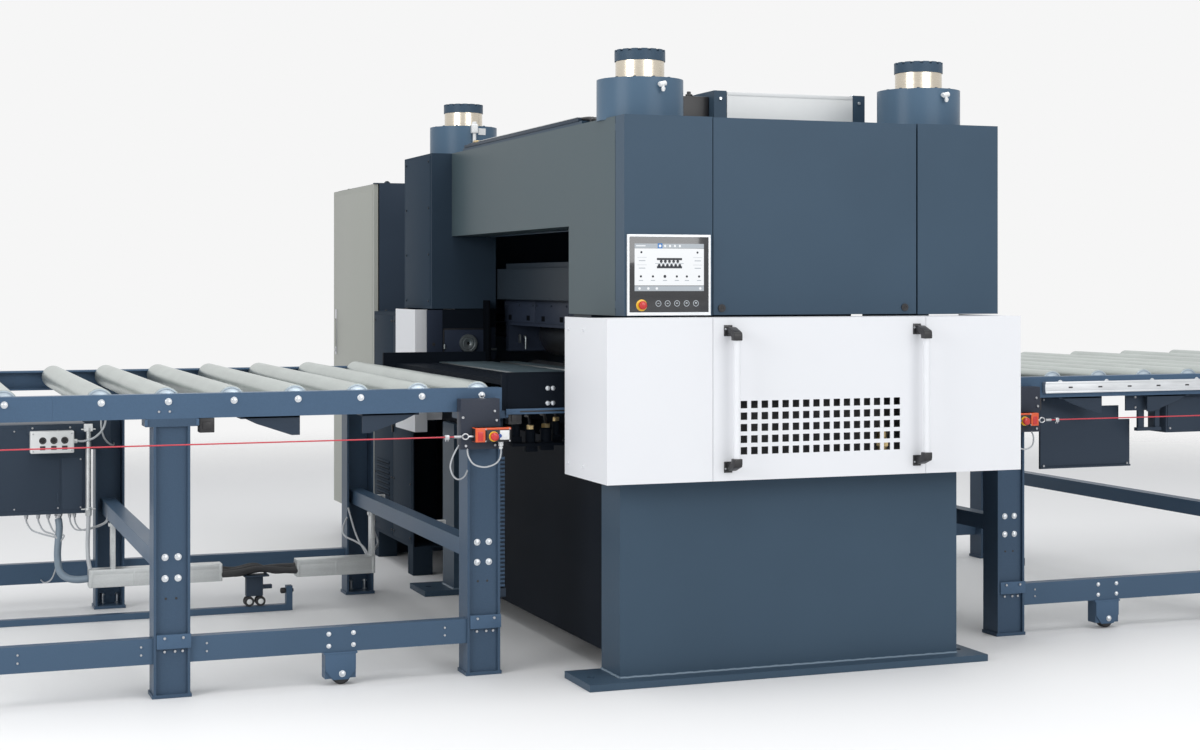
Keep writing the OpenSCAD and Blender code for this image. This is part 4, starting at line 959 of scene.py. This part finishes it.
def makeServiceBoxes():
    shell = servicePart("table cabinet", "dark")
    (left, right), (near, far), (low, high) = service["cabinet"]
    shell.box((left, near, low), (right, far, high), 4)
    shell.boxes(2, (left + 20, near - 2.5, low + 20, -1990, near + 1.5, high - 20),
                (-1980, near - 2.5, low + 20, right - 15, near + 1.5, 770),
                (right - 2, far - 20, 790, -1735, far, high),
                (-2142, near - 6, high - 50, -1918, near + 0.5, high - 5))
    shell.boxes(1, *[(-2005, near - 5, z, -1996, near, z + 40) for z in (560, 830)])
    box = servicePart("control box", "whitePlastic")
    (a, b), front, (bottom, top) = service["box"]
    box.box((a, front, bottom), (b, near, top), 6, 3)
    box.boxes(3, (a + 4, front - 2, bottom + 4, b - 4, front + 2, top - 4),
              (-1882, 2288, 895, -1842, 2316, 930))
    box.disc(10, (-1930.5, 2300, 850), toRight, 18, 2, 8)
    socket = servicePart("control box sockets", "black")
    y = front - 1.5
    for x in service["sockets"]:
        socket.disc(16.5, (x, y, 858), toFront, 4, 1.2, 32, 12.5)
        socket.disc(12, (x, y, 858), toFront, 1.8, 0.5, 28)
        socket.box((x - 12.5, y - 2.5, 813.5), (x + 12.5, y, 832.5), 1)
        socket.box((x - 9.5, y - 3.7, 816.5), (x + 9.5, y - 1.5, 829.5), 0.6)
    screws = servicePart("service screws", "steel", "bolt_zinc")
    screws.screws(product((-2117, -1944), (near - 6,), (high - 16,)), toFront, 5)
    screws.screws(product((a + 12, b - 12), (y - 0.1,), (bottom + 11, top - 11)), toFront, 3.2)
    for places, rise in (((-2411, -2200, -2000), high - 30), ((-1895,), 760)):
        screws.screws(product(places, (near - 2.6,), (low + 30, rise)), toFront, 4.2)
    pipe = servicePart("service pipe", "duct")
    x, y = service["pipe"]
    pipe.disc(12, (x, y, 515), up, 395, 1, 24)
    for z in (520, 902):
        pipe.box((x - 34, y - 10, z), (x + 32, y + 10, z + 6), 1)
        pipe.disc(16, (x, y, z - 5), up, 16, 2, 24)
    pipe.disc(15, (x, y, 490), up, 26, 2, 6)
    glands = servicePart("cable glands", "steel")
    for x, radius in service["glands"]:
        glands.disc(radius, (x, 2390, 502), down, 16, 1, 6)
        glands.disc(radius * 0.82, (x, 2390, 487), down, 12, 2, 24)


# The routes of the hoses, from the fitting where each starts to the duct, leg or rail that it enters
def makeServiceHoses():
    thin = servicePart("thin cables", "cable")
    for i, (x, z) in enumerate(((-2142, 424), (-2087, 418), (-2040, 412))):
        thin.tube([(x, 2390, 480), (x + 4, 2386, 456), (x + 26, 2372, z), (x + 70, 2358, z - 18),
                   (-2002 + i * 4, 2352 - i * 3, 385 - 12 * i)], 4)
    for x, leg, end in ((-1941, -1782, -1766), (-1919, -1774, -1762)):
        thin.tube([(x, 2390, 480), (x + 6, 2385, 446), (x + 28, 2372, 418), (x + 70, 2352, 420),
                   (leg, 2330, 452), (end, 2350, 500)], 3.6)
    thin.tube([(-2004, 2330, 300), (-2010, 2350, 235), (-2022, 2400, 185), (-2036, 2470, 158),
               (-2050, 2540, 146), (-2058, 2603, 150)], 3.6)
    grey = servicePart("grey hoses", "cable")
    grey.tube([(-1861, 2302, 494), (-1862, 2300, 440), (-1866, 2290, 360), (-1867, 2262, 300),
               (-1864, 2222, 258), (-1858, 2205, 236)], 10)
    grey.tube([(-1912, 2300, 850), (-1880, 2292, 850), (-1830, 2290, 868), (-1790, 2300, 912),
               (-1775, 2335, 975), (-1768, 2420, 1028), (-1764, 2530, 1045), (-1760, 2640, 1050)], 5.2)
    grey.tube([(-1745, 2640, 1036), (-1762, 2500, 1018), (-1792, 2370, 975), (-1800, 2315, 915),
               (-1785, 2330, 860), (-1750, 2420, 822), (-1718, 2550, 806), (-1706, 2640, 810)], 4.5)
    servicePart("cable loom hose", "loom").tube(
        [(-1993, 2390, 470), (-1990, 2375, 430), (-1996, 2360, 372), (-2002, 2330, 300),
         (-1996, 2280, 235), (-1965, 2230, 208), (-1920, 2200, 202), (-1868, 2190, 206)], 17)
    bundle = servicePart("hose bundle", "soft")
    for i, (y, sag, radius) in enumerate(((2166, 0, 16), (2186, 10, 13), (2206, -8, 16), (2216, 14, 11))):
        end = 196 + i * 8
        bundle.tube([(-1252, y, end), (-1180, y - 10, 200 + sag), (-1080, y + 4, 212 + sag),
                     (-980, y + 6, 204 - sag), (-880, y, end)], radius)


# The ducts with their lids, end caps and hangers, and the carriage on the floor rail between them
def makeDucts():
    duct = servicePart("cable ducts", "duct")
    (near, far), (bottom, top) = service["ductY"], service["ductZ"]
    for low, high in service["ducts"]:
        duct.box((low, near, bottom), (high, far, top), 3)
        duct.box((low + 1, near - 2, top - 21), (high - 1, far + 2, top + 3))
        duct.boxes(1, *[(x, near - 2.5, bottom + 2, x + 12, near + 2, top + 1) for x in (low + 4, high - 16)])
        for x in rowOf(low, high, round((high - low) / 200) + 1)[1:-1]:
            duct.box((x - 4, near - 2.2, bottom + 3), (x + 4, near + 1, top + 1), 1)
            duct.disc(3, (x, near - 2, top - 9), toFront, 0.4, 0.1, 12)
    for x in (-512, -1770):
        duct.boxes(1, (x, near + 8, top + 2, x + 20, far - 8, 466),
                   (x - 10, near + 24, 449, x + 40, far - 24, 465.2))
    cart = servicePart("hose carriage", "dark")
    cart.box((-1140, near, 176), (-1020, far, 184))
    cart.boxes(3, (-1128, near + 24, 80, -1046, far - 12, 178), (-1050, 2186, 112, -1000, 2210, 132))
    cart.boxes(1, *[(x, near + 8, 184, x + 4, far - 6, 206) for x in (-1132, -1036)])
    wheel = servicePart("carriage wheels", "black")
    hub = servicePart("carriage hubs", "whitePlastic", "bolt_zinc")
    for x in service["wheels"]:
        for y in (2172, 2212):
            wheel.disc(24, (x, y, service["wheelZ"]), toBack, 10, 2, 36)
        hub.bolt((x, 2172, service["wheelZ"]), toFront, 8.5, 400)
    stop = Kit("carriage buffer", "soft")
    stop.disc(14, (-930, 2205, 96), toLeft, 26, 4, 28)
    stop.bolt((-900, 2205, 96), toRight, 8.5, 100)


# The round conduit along the tie of the second leg, with its clamps and hanging cables
conduit = {"x": -420, "z": 447, "y": 800, "length": 1990, "clamps": (1210, 2329)}


def makeConduit():
    x, z = conduit["x"], conduit["z"]
    Kit("table conduit", "conduit").disc(15, (x, conduit["y"], z), toBack, conduit["length"], 1, 24)
    clamp = Kit("conduit clamps", "whitePlastic")
    for y in conduit["clamps"]:
        clamp.disc(20, (x, y - 10, z), toBack, 20, 2, 28)
        clamp.boxes(1, (x - 6, y - 10, z, x + 6, y + 10, 530), (x - 22, y - 10, 510, x + 20, y + 10, 534))
    clamp.disc(21, (x, 2780, z), toBack, 20, 2, 28, 11)
    hang = Kit("hanging cables", "cable")
    hang.tube([(-545, 2541, 400), (-575, 2500, 362), (-590, 2440, 334), (-588, 2370, 320),
               (-565, 2310, 310), (-530, 2262, 286), (-504, 2222, 240)], 4.8)
    hang.tube([(-541, 2541, 450), (-538, 2500, 412), (-535, 2420, 348), (-530, 2340, 300),
               (-522, 2270, 268), (-516, 2222, 238)], 4.8)
    hang.tube([(x, 2786, z), (-392, 2745, 395), (-384, 2620, 310), (-392, 2510, 270),
               (-430, 2400, 256), (-478, 2290, 252), (-506, 2224, 236)], 6)
    Kit("conduit cable", "soft").tube([(x, 802, z), (-424, 760, 440), (-440, 660, 420),
                                       (-462, 540, 380), (-470, 460, 340), (-472, 392, 300)], 5.2)


# The ribbed cable guides that hang beside a leg of each table
ribs = {"x": (-396, 2112), "wide": 34, "z": (342, 886), "step": 17, "count": 32}


def makeRibs():
    rail, rib = Kit("cable guide rails", "dark"), Kit("cable guide ribs", "frameBlue")
    bottom, top = ribs["z"]
    for low in ribs["x"]:
        high = low + ribs["wide"]
        rail.boxes(2, (low, 440, bottom, high, 480, top),
                   (low - 4, 436, bottom - 40, high + 4, 478, bottom - 4))
        rail.box((low + 6, 446, top - 4), (high - 6, 474, table["under"]), 1)
        for i in range(ribs["count"]):
            z = bottom + i * ribs["step"] + 4
            rib.box((low + 2, 432.5, z), (high - 2, 442, z + 9), 1.2)


# What hangs at the outfeed table: the slotted rail, a guard plate and a small cabinet
outfeed = {"rail": (2192, 3590), "railZ": (1101, 1152), "slots": 8, "plate": (2268, 2768), "plateY": 498,
           "plateLow": 738, "box": (2916, 3180), "boxY": (420, 560), "boxLow": 896}


def makeOutfeed():
    face, under = table["face"], table["under"]
    rail, slot = Kit("slotted rail", "alu", "zinc_steel"), Kit("rail slot shade", "black")
    (left, right), (low, high) = outfeed["rail"], outfeed["railZ"]
    rail.box((left, face - 26, low), (right, face - 0.2, high))
    rail.boxes(1, *[(left, face - 29, a, right, face - 24, b)
                    for a, b in ((high - 10, high + 0.5), (low - 0.5, low + 8))])
    # The slots are black boxes: painted shade
    for x in rowOf(left + 136, right - 135, outfeed["slots"]):
        slot.box((x - 11, face - 26.8, 1122.5), (x + 11, face - 24, 1129.5), 1.5)
    plate, small = Kit("outfeed guard plate", "dark"), Kit("outfeed screws", "steel", "bolt_zinc")
    (left, right), y, low = outfeed["plate"], outfeed["plateY"], outfeed["plateLow"]
    plate.prism([(left, low), (right, low), (right, 960), (right - 62, 960), (right - 62, 1026),
                 (right - 164, 1026), (right - 164, under), (left, under)], "y", (y, y + 6), 1)
    plate.boxes(1, (left, y - 8, low, right, y + 2, low + 8), (left, y - 8, low, left + 6, y + 2, 1070))
    small.screws([(left + 22, y, low + 13), (right - 16, y, low + 13), (left + 22, y, 1060)], toFront, 5.5)
    (left, right), (near, far), low = outfeed["box"], outfeed["boxY"], outfeed["boxLow"]
    plate.box((left, near, low), (right, far, under), 4)
    plate.boxes(2, (left + 8, near - 3.5, low + 9, right - 8, near + 1.5, 1064))
    # The bracket between the plate and the cabinet
    plate.boxes(2, (2690, near, 1005, 2885, near + 8, under),
                *[(a, near + 4, 920, b, near + 20, 1010) for a, b in ((2764, 2797), (2858, 2884))],
                (2755, near, 908, 2892, near + 26, 924))
    small.screws(product((2742, 2872), (near,), (1068, 1020)), toFront, 5.5)
    small.screws(product((left + 20, right - 20), (near - 3.5,), (917, 1052)), toFront, 5.5)


makeServiceBoxes()
makeServiceHoses()
makeDucts()
makeConduit()
makeRibs()
makeOutfeed()
stage("table services")

# Inside the mouth: trim of the press beam, strips, cheek plates and entry plates
mouth = {"beamX": (250, 1414), "skirtX": (300, 1364), "strip": (1404, 1512), "holeZ": 1427, "hole": 13,
         "seams": (700, 986, 1496, 2004, 2515), "holeY": (800, 1100, 1358, 1602, 1878, 2115, 2416),
         "cheekY": 2493, "cheekZ": (1204.5, 1465.5), "disc": (86, 1290), "right": 1664,
         "entryZ": (1193, 1197.2)}


def makePressTrim():
    trim, strips = Kit("press beam trim", "deep", body="press"), Kit("skirt strips", "cheek", body="press")
    holes, pins = Kit("skirt hole shade", "pit", body="press"), Kit("skirt screws", "deep", body="press")
    left, right = mouth["beamX"]
    trim.box((left + 16, 520, 1678), (right - 16, 2400, 1706.5), 3)
    for (x, way), z in product(((left, -1), (right, 1)), (1522.5, 1672)):
        trim.box((x, 520, z), (x + way * 2, 2450, z + 6), 0.8)
    bottom, top = mouth["strip"]
    size, z = mouth["hole"], mouth["holeZ"]
    for x, way in zip(mouth["skirtX"], (-1, 1)):
        face = x + way * 5.5
        for low, high in zip(mouth["seams"], mouth["seams"][1:]):
            strips.box((x + way * 0.4, low + 2, bottom), (face, high - 2, top), 1)
            pins.screws([(face, y, top - 20) for y in rowOf(low + 30, high - 30, 3)], (way, 0, 0), 5)
        # The holes are near-black boxes: painted shade
        for y in mouth["holeY"]:
            holes.box((x + way * 3, y - size * 2, z - size), (x + way * 6.2, y + size * 2, z + size), 1.5)


def makeCheeks():
    y, (sill, top) = mouth["cheekY"], mouth["cheekZ"]
    cheek = Kit("cheek plates", "cheek")
    cheek.boxes(2, (-134, y + 0.5, sill, -50.2, y + 12, top), (-40, y - 6, sill, 206, y + 1, 1361),
                (-50.2, y + 0.5, 1372, 168, y + 12, top), (210, y - 4, sill, 238, y + 1, 1372))
    cheek.boxes(1, (-96, 3035, 1434, 1826, 3042.5, 1478), (-53, 3900, 1340, 1553, 3910, 1433))
    # A near-black plate in the gap between cheek and press beam: painted shade
    Kit("cheek gap shade plate", "pit", "dark_paint").box((170, 2400, 1182), (182, 2505, 1515))
    x, z = mouth["disc"]
    Kit("cheek disc", "dimSteel").lathe(
        [(8, 2), (8, 10), (12, 12), (28.5, 12), (30, 10), (33, 10), (35, 12.5), (46.5, 12.5), (48, 10),
         (48, 0)], (x, y - 6, z), toFront, 56)
    # Black discs in the holes and black strips in the gaps between the plates: painted shade
    holeAndGapShade = Kit("cheek hole and gap shade", "black")
    holeAndGapShade.disc(9, (-98, y + 1, 1286.5), toFront, 1.2, 0.4, 24)
    holeAndGapShade.disc(8.2, (x, y - 7.5, z), toFront, 2, 0.4, 24)
    holeAndGapShade.boxes(0.6, (-47, y - 1.2, 1205, -40.5, y + 1, 1368), (-47, y - 1.2, 1361.2, 206, y + 1, 1368))
    pins = Kit("cheek pins", "dimSteel")
    pins.disc(6.5, (212, y - 6, 1258.5), toRight, 30, 1, 18)
    pins.disc(5, (-41.5, y - 8, 1262), up, 24, 1, 14)
    pins.tube([(350, 2322, 1262), (350, 2322, 1318), (350, 2334, 1330), (350, 2350, 1326)], 5)
    pins.box((344, 2405, 1292), (352, 2428, 1336))
    # Entry plates with their bright edges, on the infeed side and the other way round on the outfeed side
    plate, edge, right = Kit("entry plates", "entry"), Kit("entry plate edges", "dimSteel"), mouth["right"]
    bottom, top = mouth["entryZ"]
    for low, high, near, far in ((-82, 16, 400, 2446), (18, 190, 690, 2446), (236, 326, 980, 2400)):
        for a, b in ((low, high), (right - high, right - low)):
            plate.box((a, near, bottom), (b, far, top), 1)
    for x, near in ((-84, 402), (234, 982), (right + 78, 402), (right - 240, 982)):
        edge.box((x, near, 1180), (x + 6, 2396, 1197.6), 1)


guide = {"x": (-399, 198), "edgeZ": (1081.5, 1236.2), "shelves": ((-385, -6), (1736, 1944)),
         "shelfZ": (1064, 1087), "boltX": (-201, -178, 1842, 1865), "soffitX": (186, 1540),
         "fittings": ((-288, 520, 985, 18), (-231, 500, 960, 22), (-162, 500, 965, 24), (-109, 520, 990, 18))}


# Trim of the side guides, and the fittings and hoses between the guide and the bed
def makeGuides():
    near = table["face"]
    (left, right), (low, high) = guide["x"], guide["edgeZ"]
    Kit("guide edges", "night").boxes(1, (left, near + 0.5, low, left + 21.8, near + 19, high - 1.4),
                                      (left, near - 1.5, high - 6.2, right, near + 21, high))
    shelf, dark = Kit("guide shelf", "frameBlue"), Kit("guide shelf slot shade", "black")
    bright = Kit("guide bolts", "bolt")
    bottom, top = guide["shelfZ"]
    for left, right in guide["shelves"]:
        shelf.box((left, near - 12, bottom), (right, near - 0.4, top))
        # The slot in the shelf is a black box: painted shade
        dark.box((left + 60, near - 12.8, bottom + 8.5), (right - 50, near - 11, top - 8.5), 0.8)
    for x, z in product(guide["boltX"], (1106.5, 1168.5)):
        bright.bolt((x, near, z), toFront, 6.2, x * 40)
    body, line = Kit("guide fittings", "night"), Kit("guide hoses", "soft")
    ring = Kit("guide fitting nuts", "brass")
    for x, y, z, radius in guide["fittings"]:
        body.disc(radius, (x, y, z - 30), up, 60, 4, 28)
        body.box((x - radius * 1.2, y - radius, z - 64), (x + radius * 1.2, y + radius, z - 26), 3)
        ring.disc(radius * 0.8, (x, y, z + 28), up, 20, 2, 6)
        line.tube([(x, y, z + 40), (x, y + 10, z + 66), (x + 10, y + 50, z + 82),
                   (x + 20, y + 120, z + 78)], 6.5)
    body.box((-320, 470, 920.5), (-70, 560, 932))
    Kit("soffit edges", "slate").boxes(1, *[(x, 672, 1844, x + 8, 2488, 1849.5) for x in guide["soffitX"]])


makePressTrim()
makeCheeks()
makeGuides()
stage("mouth")

# Rear housing, drive housing, gearbox and cabinet
rear = {"x": (-108, 1838), "back": 3050, "z": (1472, 2282), "eyes": ((560, 1120), (2560, 2985)),
        "drive": (-60, 1560), "driveZ": (150, 1440), "driveEnd": 3940, "gearEnd": 3870,
        "gear": ((262, 1402), (935, 1374)), "foot": ((315, 1349), (190, 905)), "motor": (832, 640),
        "hoseX": (120, 170, 220, 270)}


def makeRearHousing():
    plates, ventShade = Kit("rear housing panels", "deepSlate"), Kit("rear housing vent shade", "pit")
    bolts, eyes = Kit("rear housing screws", "deep"), Kit("lifting eyes", "steel")
    y, (low, high) = rear["back"], rear["z"]
    cuts = (rear["x"][0] + 12, 530, 1180, rear["x"][1] - 12)
    for a, b in zip(cuts, cuts[1:]):
        plates.box((a + 3, y - 0.6, low + 12), (b - 3, y + 2.2, high - 12), 1)
        for z, count in ((low + 38, 3), (high - 38, 3), ((low + high) / 2, 2)):
            bolts.screws([(x, y + 2.2, z) for x in rowOf(a + 30, b - 30, count)], toBack, 6.5)
    for z in rowOf(1640, 2082, 14):
        plates.box((640, y + 1, z), (1070, y + 8.5, z + 14), 3)
        # A near-black strip under each louvre: painted shade
        ventShade.box((646, y + 1, z - 6), (1064, y + 2.6, z - 1), 0.5)
    for side, x in zip((-1, 1), rear["x"]):
        face = x + side * 2.2
        plates.box((x - side * 0.5, 2520, low + 12), (face, 3022, high - 12), 1)
        bolts.screws(product((face,), (2545, 2998), rowOf(low + 40, high - 40, 4)), (side, 0, 0), 6)
    for x, y in product(*rear["eyes"]):
        eyes.disc(20, (x, y, high), up, 10, 2, 28)
        eyes.tube([(x + 20 * math.cos(a), y, high + 30 + 20 * math.sin(a))
                   for a in rowOf(0, 2 * math.pi, 21)], 5.5, 12, 2)


def makeDrive():
    panels, vents = Kit("drive housing panels", "driveBlue"), Kit("drive housing vent shade", "pit")
    latch = Kit("drive housing latches", "black")
    near, far = rear["back"] + 0.3, rear["driveEnd"]
    low, high = rear["driveZ"]
    left, right = rear["drive"]
    for side, x in ((-1, left), (1, right)):
        face = x + side * 3
        for a, b in ((near + 20, 3480), (3486, far - 20)):
            panels.box((x, a, low + 20), (face, b, high - 20), 1.2)
            latch.screws(product((face,), (a + 22, b - 22), rowOf(low + 50, high - 50, 5)), (side, 0, 0), 5.8)
        for z in rowOf(330, 570, 9):
            panels.box((x + side * 2.8, 3560, z), (x + side * 9, 3860, z + 13), 3)
            # A near-black strip under each louvre: painted shade
            vents.box((x + side * 2.6, 3565, z - 6), (x + side * 4, 3855, z - 1), 0.5)
        latch.box((face, 3462, 760), (x + side * 14, 3474, 880), 3)
    panels.box((left + 20, near + 20, high - 1), (right - 20, far - 20, high + 3), 1.2)
    latch.screws(product(rowOf(0, 1500, 6), (near + 45, far - 45), (high + 3,)), up)


# The gearbox behind the rolls and the motor under it
def makeGearbox():
    gear, caps = Kit("gearbox covers", "deep"), Kit("gearbox bolts", "bolt")
    y = rear["gearEnd"]
    (left, right), (low, high) = rear["gear"]
    (a, b), (bottom, top) = rear["foot"]
    middle, axisZ = rear["motor"]
    gear.boxes(1, *[(x - 0.2, y - 300, low - 10, x + 2.7, y - 2, high + 6) for x in (left - 12, right + 9.5)])
    gear.boxes(4, (left, y, low, right, y + 12, high), (a, y, bottom, b, y + 10, top))
    gear.boxes(3, *[(x - 8, y + 4, bottom + 25, x + 8, y + 34, top - 20) for x in rowOf(a + 85, b - 85, 5)])
    for z, reach, count in ((1060, 390, 4), (1275, 260, 3)):
        for x in rowOf(middle - reach, middle + reach, count):
            gear.disc(82, (x, y + 10, z), toBack, 16, 3, 48)
            gear.disc(50, (x, y + 24, z), toBack, 16, 3)
            for i in range(6):
                turn = i * math.pi / 3 + 0.2
                spot = (x + 68 * math.cos(turn), y + 26, z + 68 * math.sin(turn))
                caps.bolt(spot, toBack, 6.2, i * 1000)
    for x, z in product(rowOf(left + 23, right - 22, 8), (low + 15, high - 16)):
        caps.bolt((x, y + 12, z), toBack, 8, x * 9)
    plugs = Kit("gearbox plugs", "brass")
    plugs.disc(20, (1330, y + 12, 1060), toBack, 12, 2, 32, 13)
    for x, dy, z in ((middle, 10, 250), (1330, 12, 1330)):
        plugs.disc(12, (x, y + dy, z), toBack, 20, 2, 6)
    motor = Kit("motor ribs", "deep")
    for i in range(30):
        turn = Matrix.Translation((middle, 0, axisZ)) @ Matrix.Rotation(-i * math.pi / 15, 4, "Y")
        motor.box((165, 3095, -4), (190, 3500, 4), 1, matrix=turn)
    motor.disc(178, (middle, 3054, axisZ), toBack, 45, 10, 56)
    motor.disc(200, (middle, 3535, axisZ), toBack, 34, 6, 56)
    motor.box((middle - 80, 3220, axisZ + 165), (middle + 80, 3400, axisZ + 250), 6)


cabinet = {"x": (-60, 540), "y": (3940.3, 5030.3), "z": (200, 2200), "slits": (330, 355, 380, 405),
           "fans": (1800, 300), "units": (45, 72, 36, 110, 54)}


def makeCabinetDoor():
    (x, _), (near, far), (low, high) = cabinet["x"], cabinet["y"], cabinet["z"]
    door, black = Kit("door panel", "door", body="door"), Kit("door handle and slit shade", "black", body="door")
    door.box((x - 1.6, near + 45, low + 40), (x + 1, far - 40, high - 40), 1)
    for z in cabinet["slits"]:
        door.box((x - 7.5, near + 300, z), (x, far - 300, z + 10), 3)
        # A black strip under each slit: painted shade
        black.box((x - 3, near + 305, z - 4.5), (x - 1, far - 305, z - 0.7), 0.5)
    black.box((x - 11.8, far - 88, 1205), (x - 4, far - 62, 1375), 4, 3)
    metal = Kit("door lock plate", "steel", body="door")
    metal.box((x - 6, far - 98, 1150), (x + 1, far - 52, 1440), 3)
    metal.disc(12, (x - 5.5, far - 75, 1180), toLeft, 5, 1, 28)
    Kit("door inner sheet", "duct", body="door").box((x + 23.6, near + 80, low + 100),
                                                     (x + 27, far - 80, high - 100), 1)


# The body of the cabinet: panels, fan grilles, plugs, and what stands on the mounting plate behind the door
def makeCabinet():
    (left, right), (near, far), (low, high) = cabinet["x"], cabinet["y"], cabinet["z"]
    shell, slits = Kit("cabinet panels", "deepSlate", "dark_paint"), Kit("cabinet fan slot shade", "pit")
    shell.boxes(1, (left + 50, far - 0.4, low + 30, right - 30, far + 2, high - 30),
                (right - 0.4, near + 30, low + 30, right + 2, far - 30, high - 30))
    shell.boxes(5, (left + 180, far + 1, 1800, right - 130, far + 14, 2080),
                *[(right + 1, near + 180, z, right + 14, near + 460, z + 280) for z in cabinet["fans"]])
    for rise in rowOf(22, 238, 9):
        z = cabinet["fans"][0] + rise
        # The slots of the fan grilles are near-black boxes: painted shade
        slits.box((left + 200, far + 12, z), (right - 150, far + 15, z + 12), 1)
        slits.boxes(1, *[(right + 12, near + 200, z + rise, right + 15, near + 440, z + rise + 12)
                             for z in cabinet["fans"]])
    plugs = Kit("cabinet plugs and screws", "deep", "zinc_steel")
    for x, y in product((left + 90, right - 45), (near + 50, far - 50)):
        plugs.disc(17, (x, y, high), up, 8.5, 2, 24)
        plugs.disc(11, (x, y, high + 8), up, 6, 2, 6)
    plugs.screws(product((right + 2,), (near + 60, far - 60), rowOf(low + 60, high - 60, 6)), toRight, 5.5)
    grey, rails = Kit("cabinet units grey", "whitePlastic", "grey_paint"), Kit("cabinet rails", "duct")
    dark = Kit("cabinet units dark", "black")
    plate, face = right - 24.5, right - 32.5
    for i, z in enumerate(rowOf(420, 1780, 5)):
        rails.box((face, near + 100, z), (plate, far - 100, z + 35), 1)
        grey.box((plate - 62, near + 60, z + 170), (plate, far - 60, z + 225))
        y, k = near + 110, i
        while y < far - 190:
            end = y + cabinet["units"][k % 5]
            (dark if k % 3 else grey).box((plate - 100 - 20 * ((k + i) % 3), y, z - 45),
                                          (face, end, z + 90), 3)
            y, k = end + 12, k + 1
    lines = Kit("drive housing hoses", "soft")
    for i, x in enumerate(rear["hoseX"]):
        lines.tube([(x, near - 20, 1446 + 10 * (i % 2)), (x, near - 200, 1462),
                    (x + 20, near - 500, 1459), (x + 40, near - 860, 1460)], 11, 12, 6)


# Bearing caps in the roller ends
def makeRollerCaps():
    bodies = ["%s_roller_%d" % (side, i) for side in ("infeed", "outfeed") for i in range(1, 8)]
    bodies += ["frame"] * len(table["plainRollers"])
    for i, (x, body) in enumerate(zip(rollers, bodies)):
        kit = Kit("roller caps %02d" % (i + 1), "cap", body=body)
        for y, axis in ((table["face"] + 64, toFront), (table["far"] - 64, toBack)):
            kit.lathe([(13, 0), (13, 2.2), (20, 2.6), (21.5, 1.4), (44, 1.4),
                       (45.5, 3), (50, 3), (50.8, 0)], (x, y, table["axle"]), axis)


makeRearHousing()
makeDrive()
makeGearbox()
makeCabinetDoor()
makeCabinet()
makeRollerCaps()
stage("rear side")
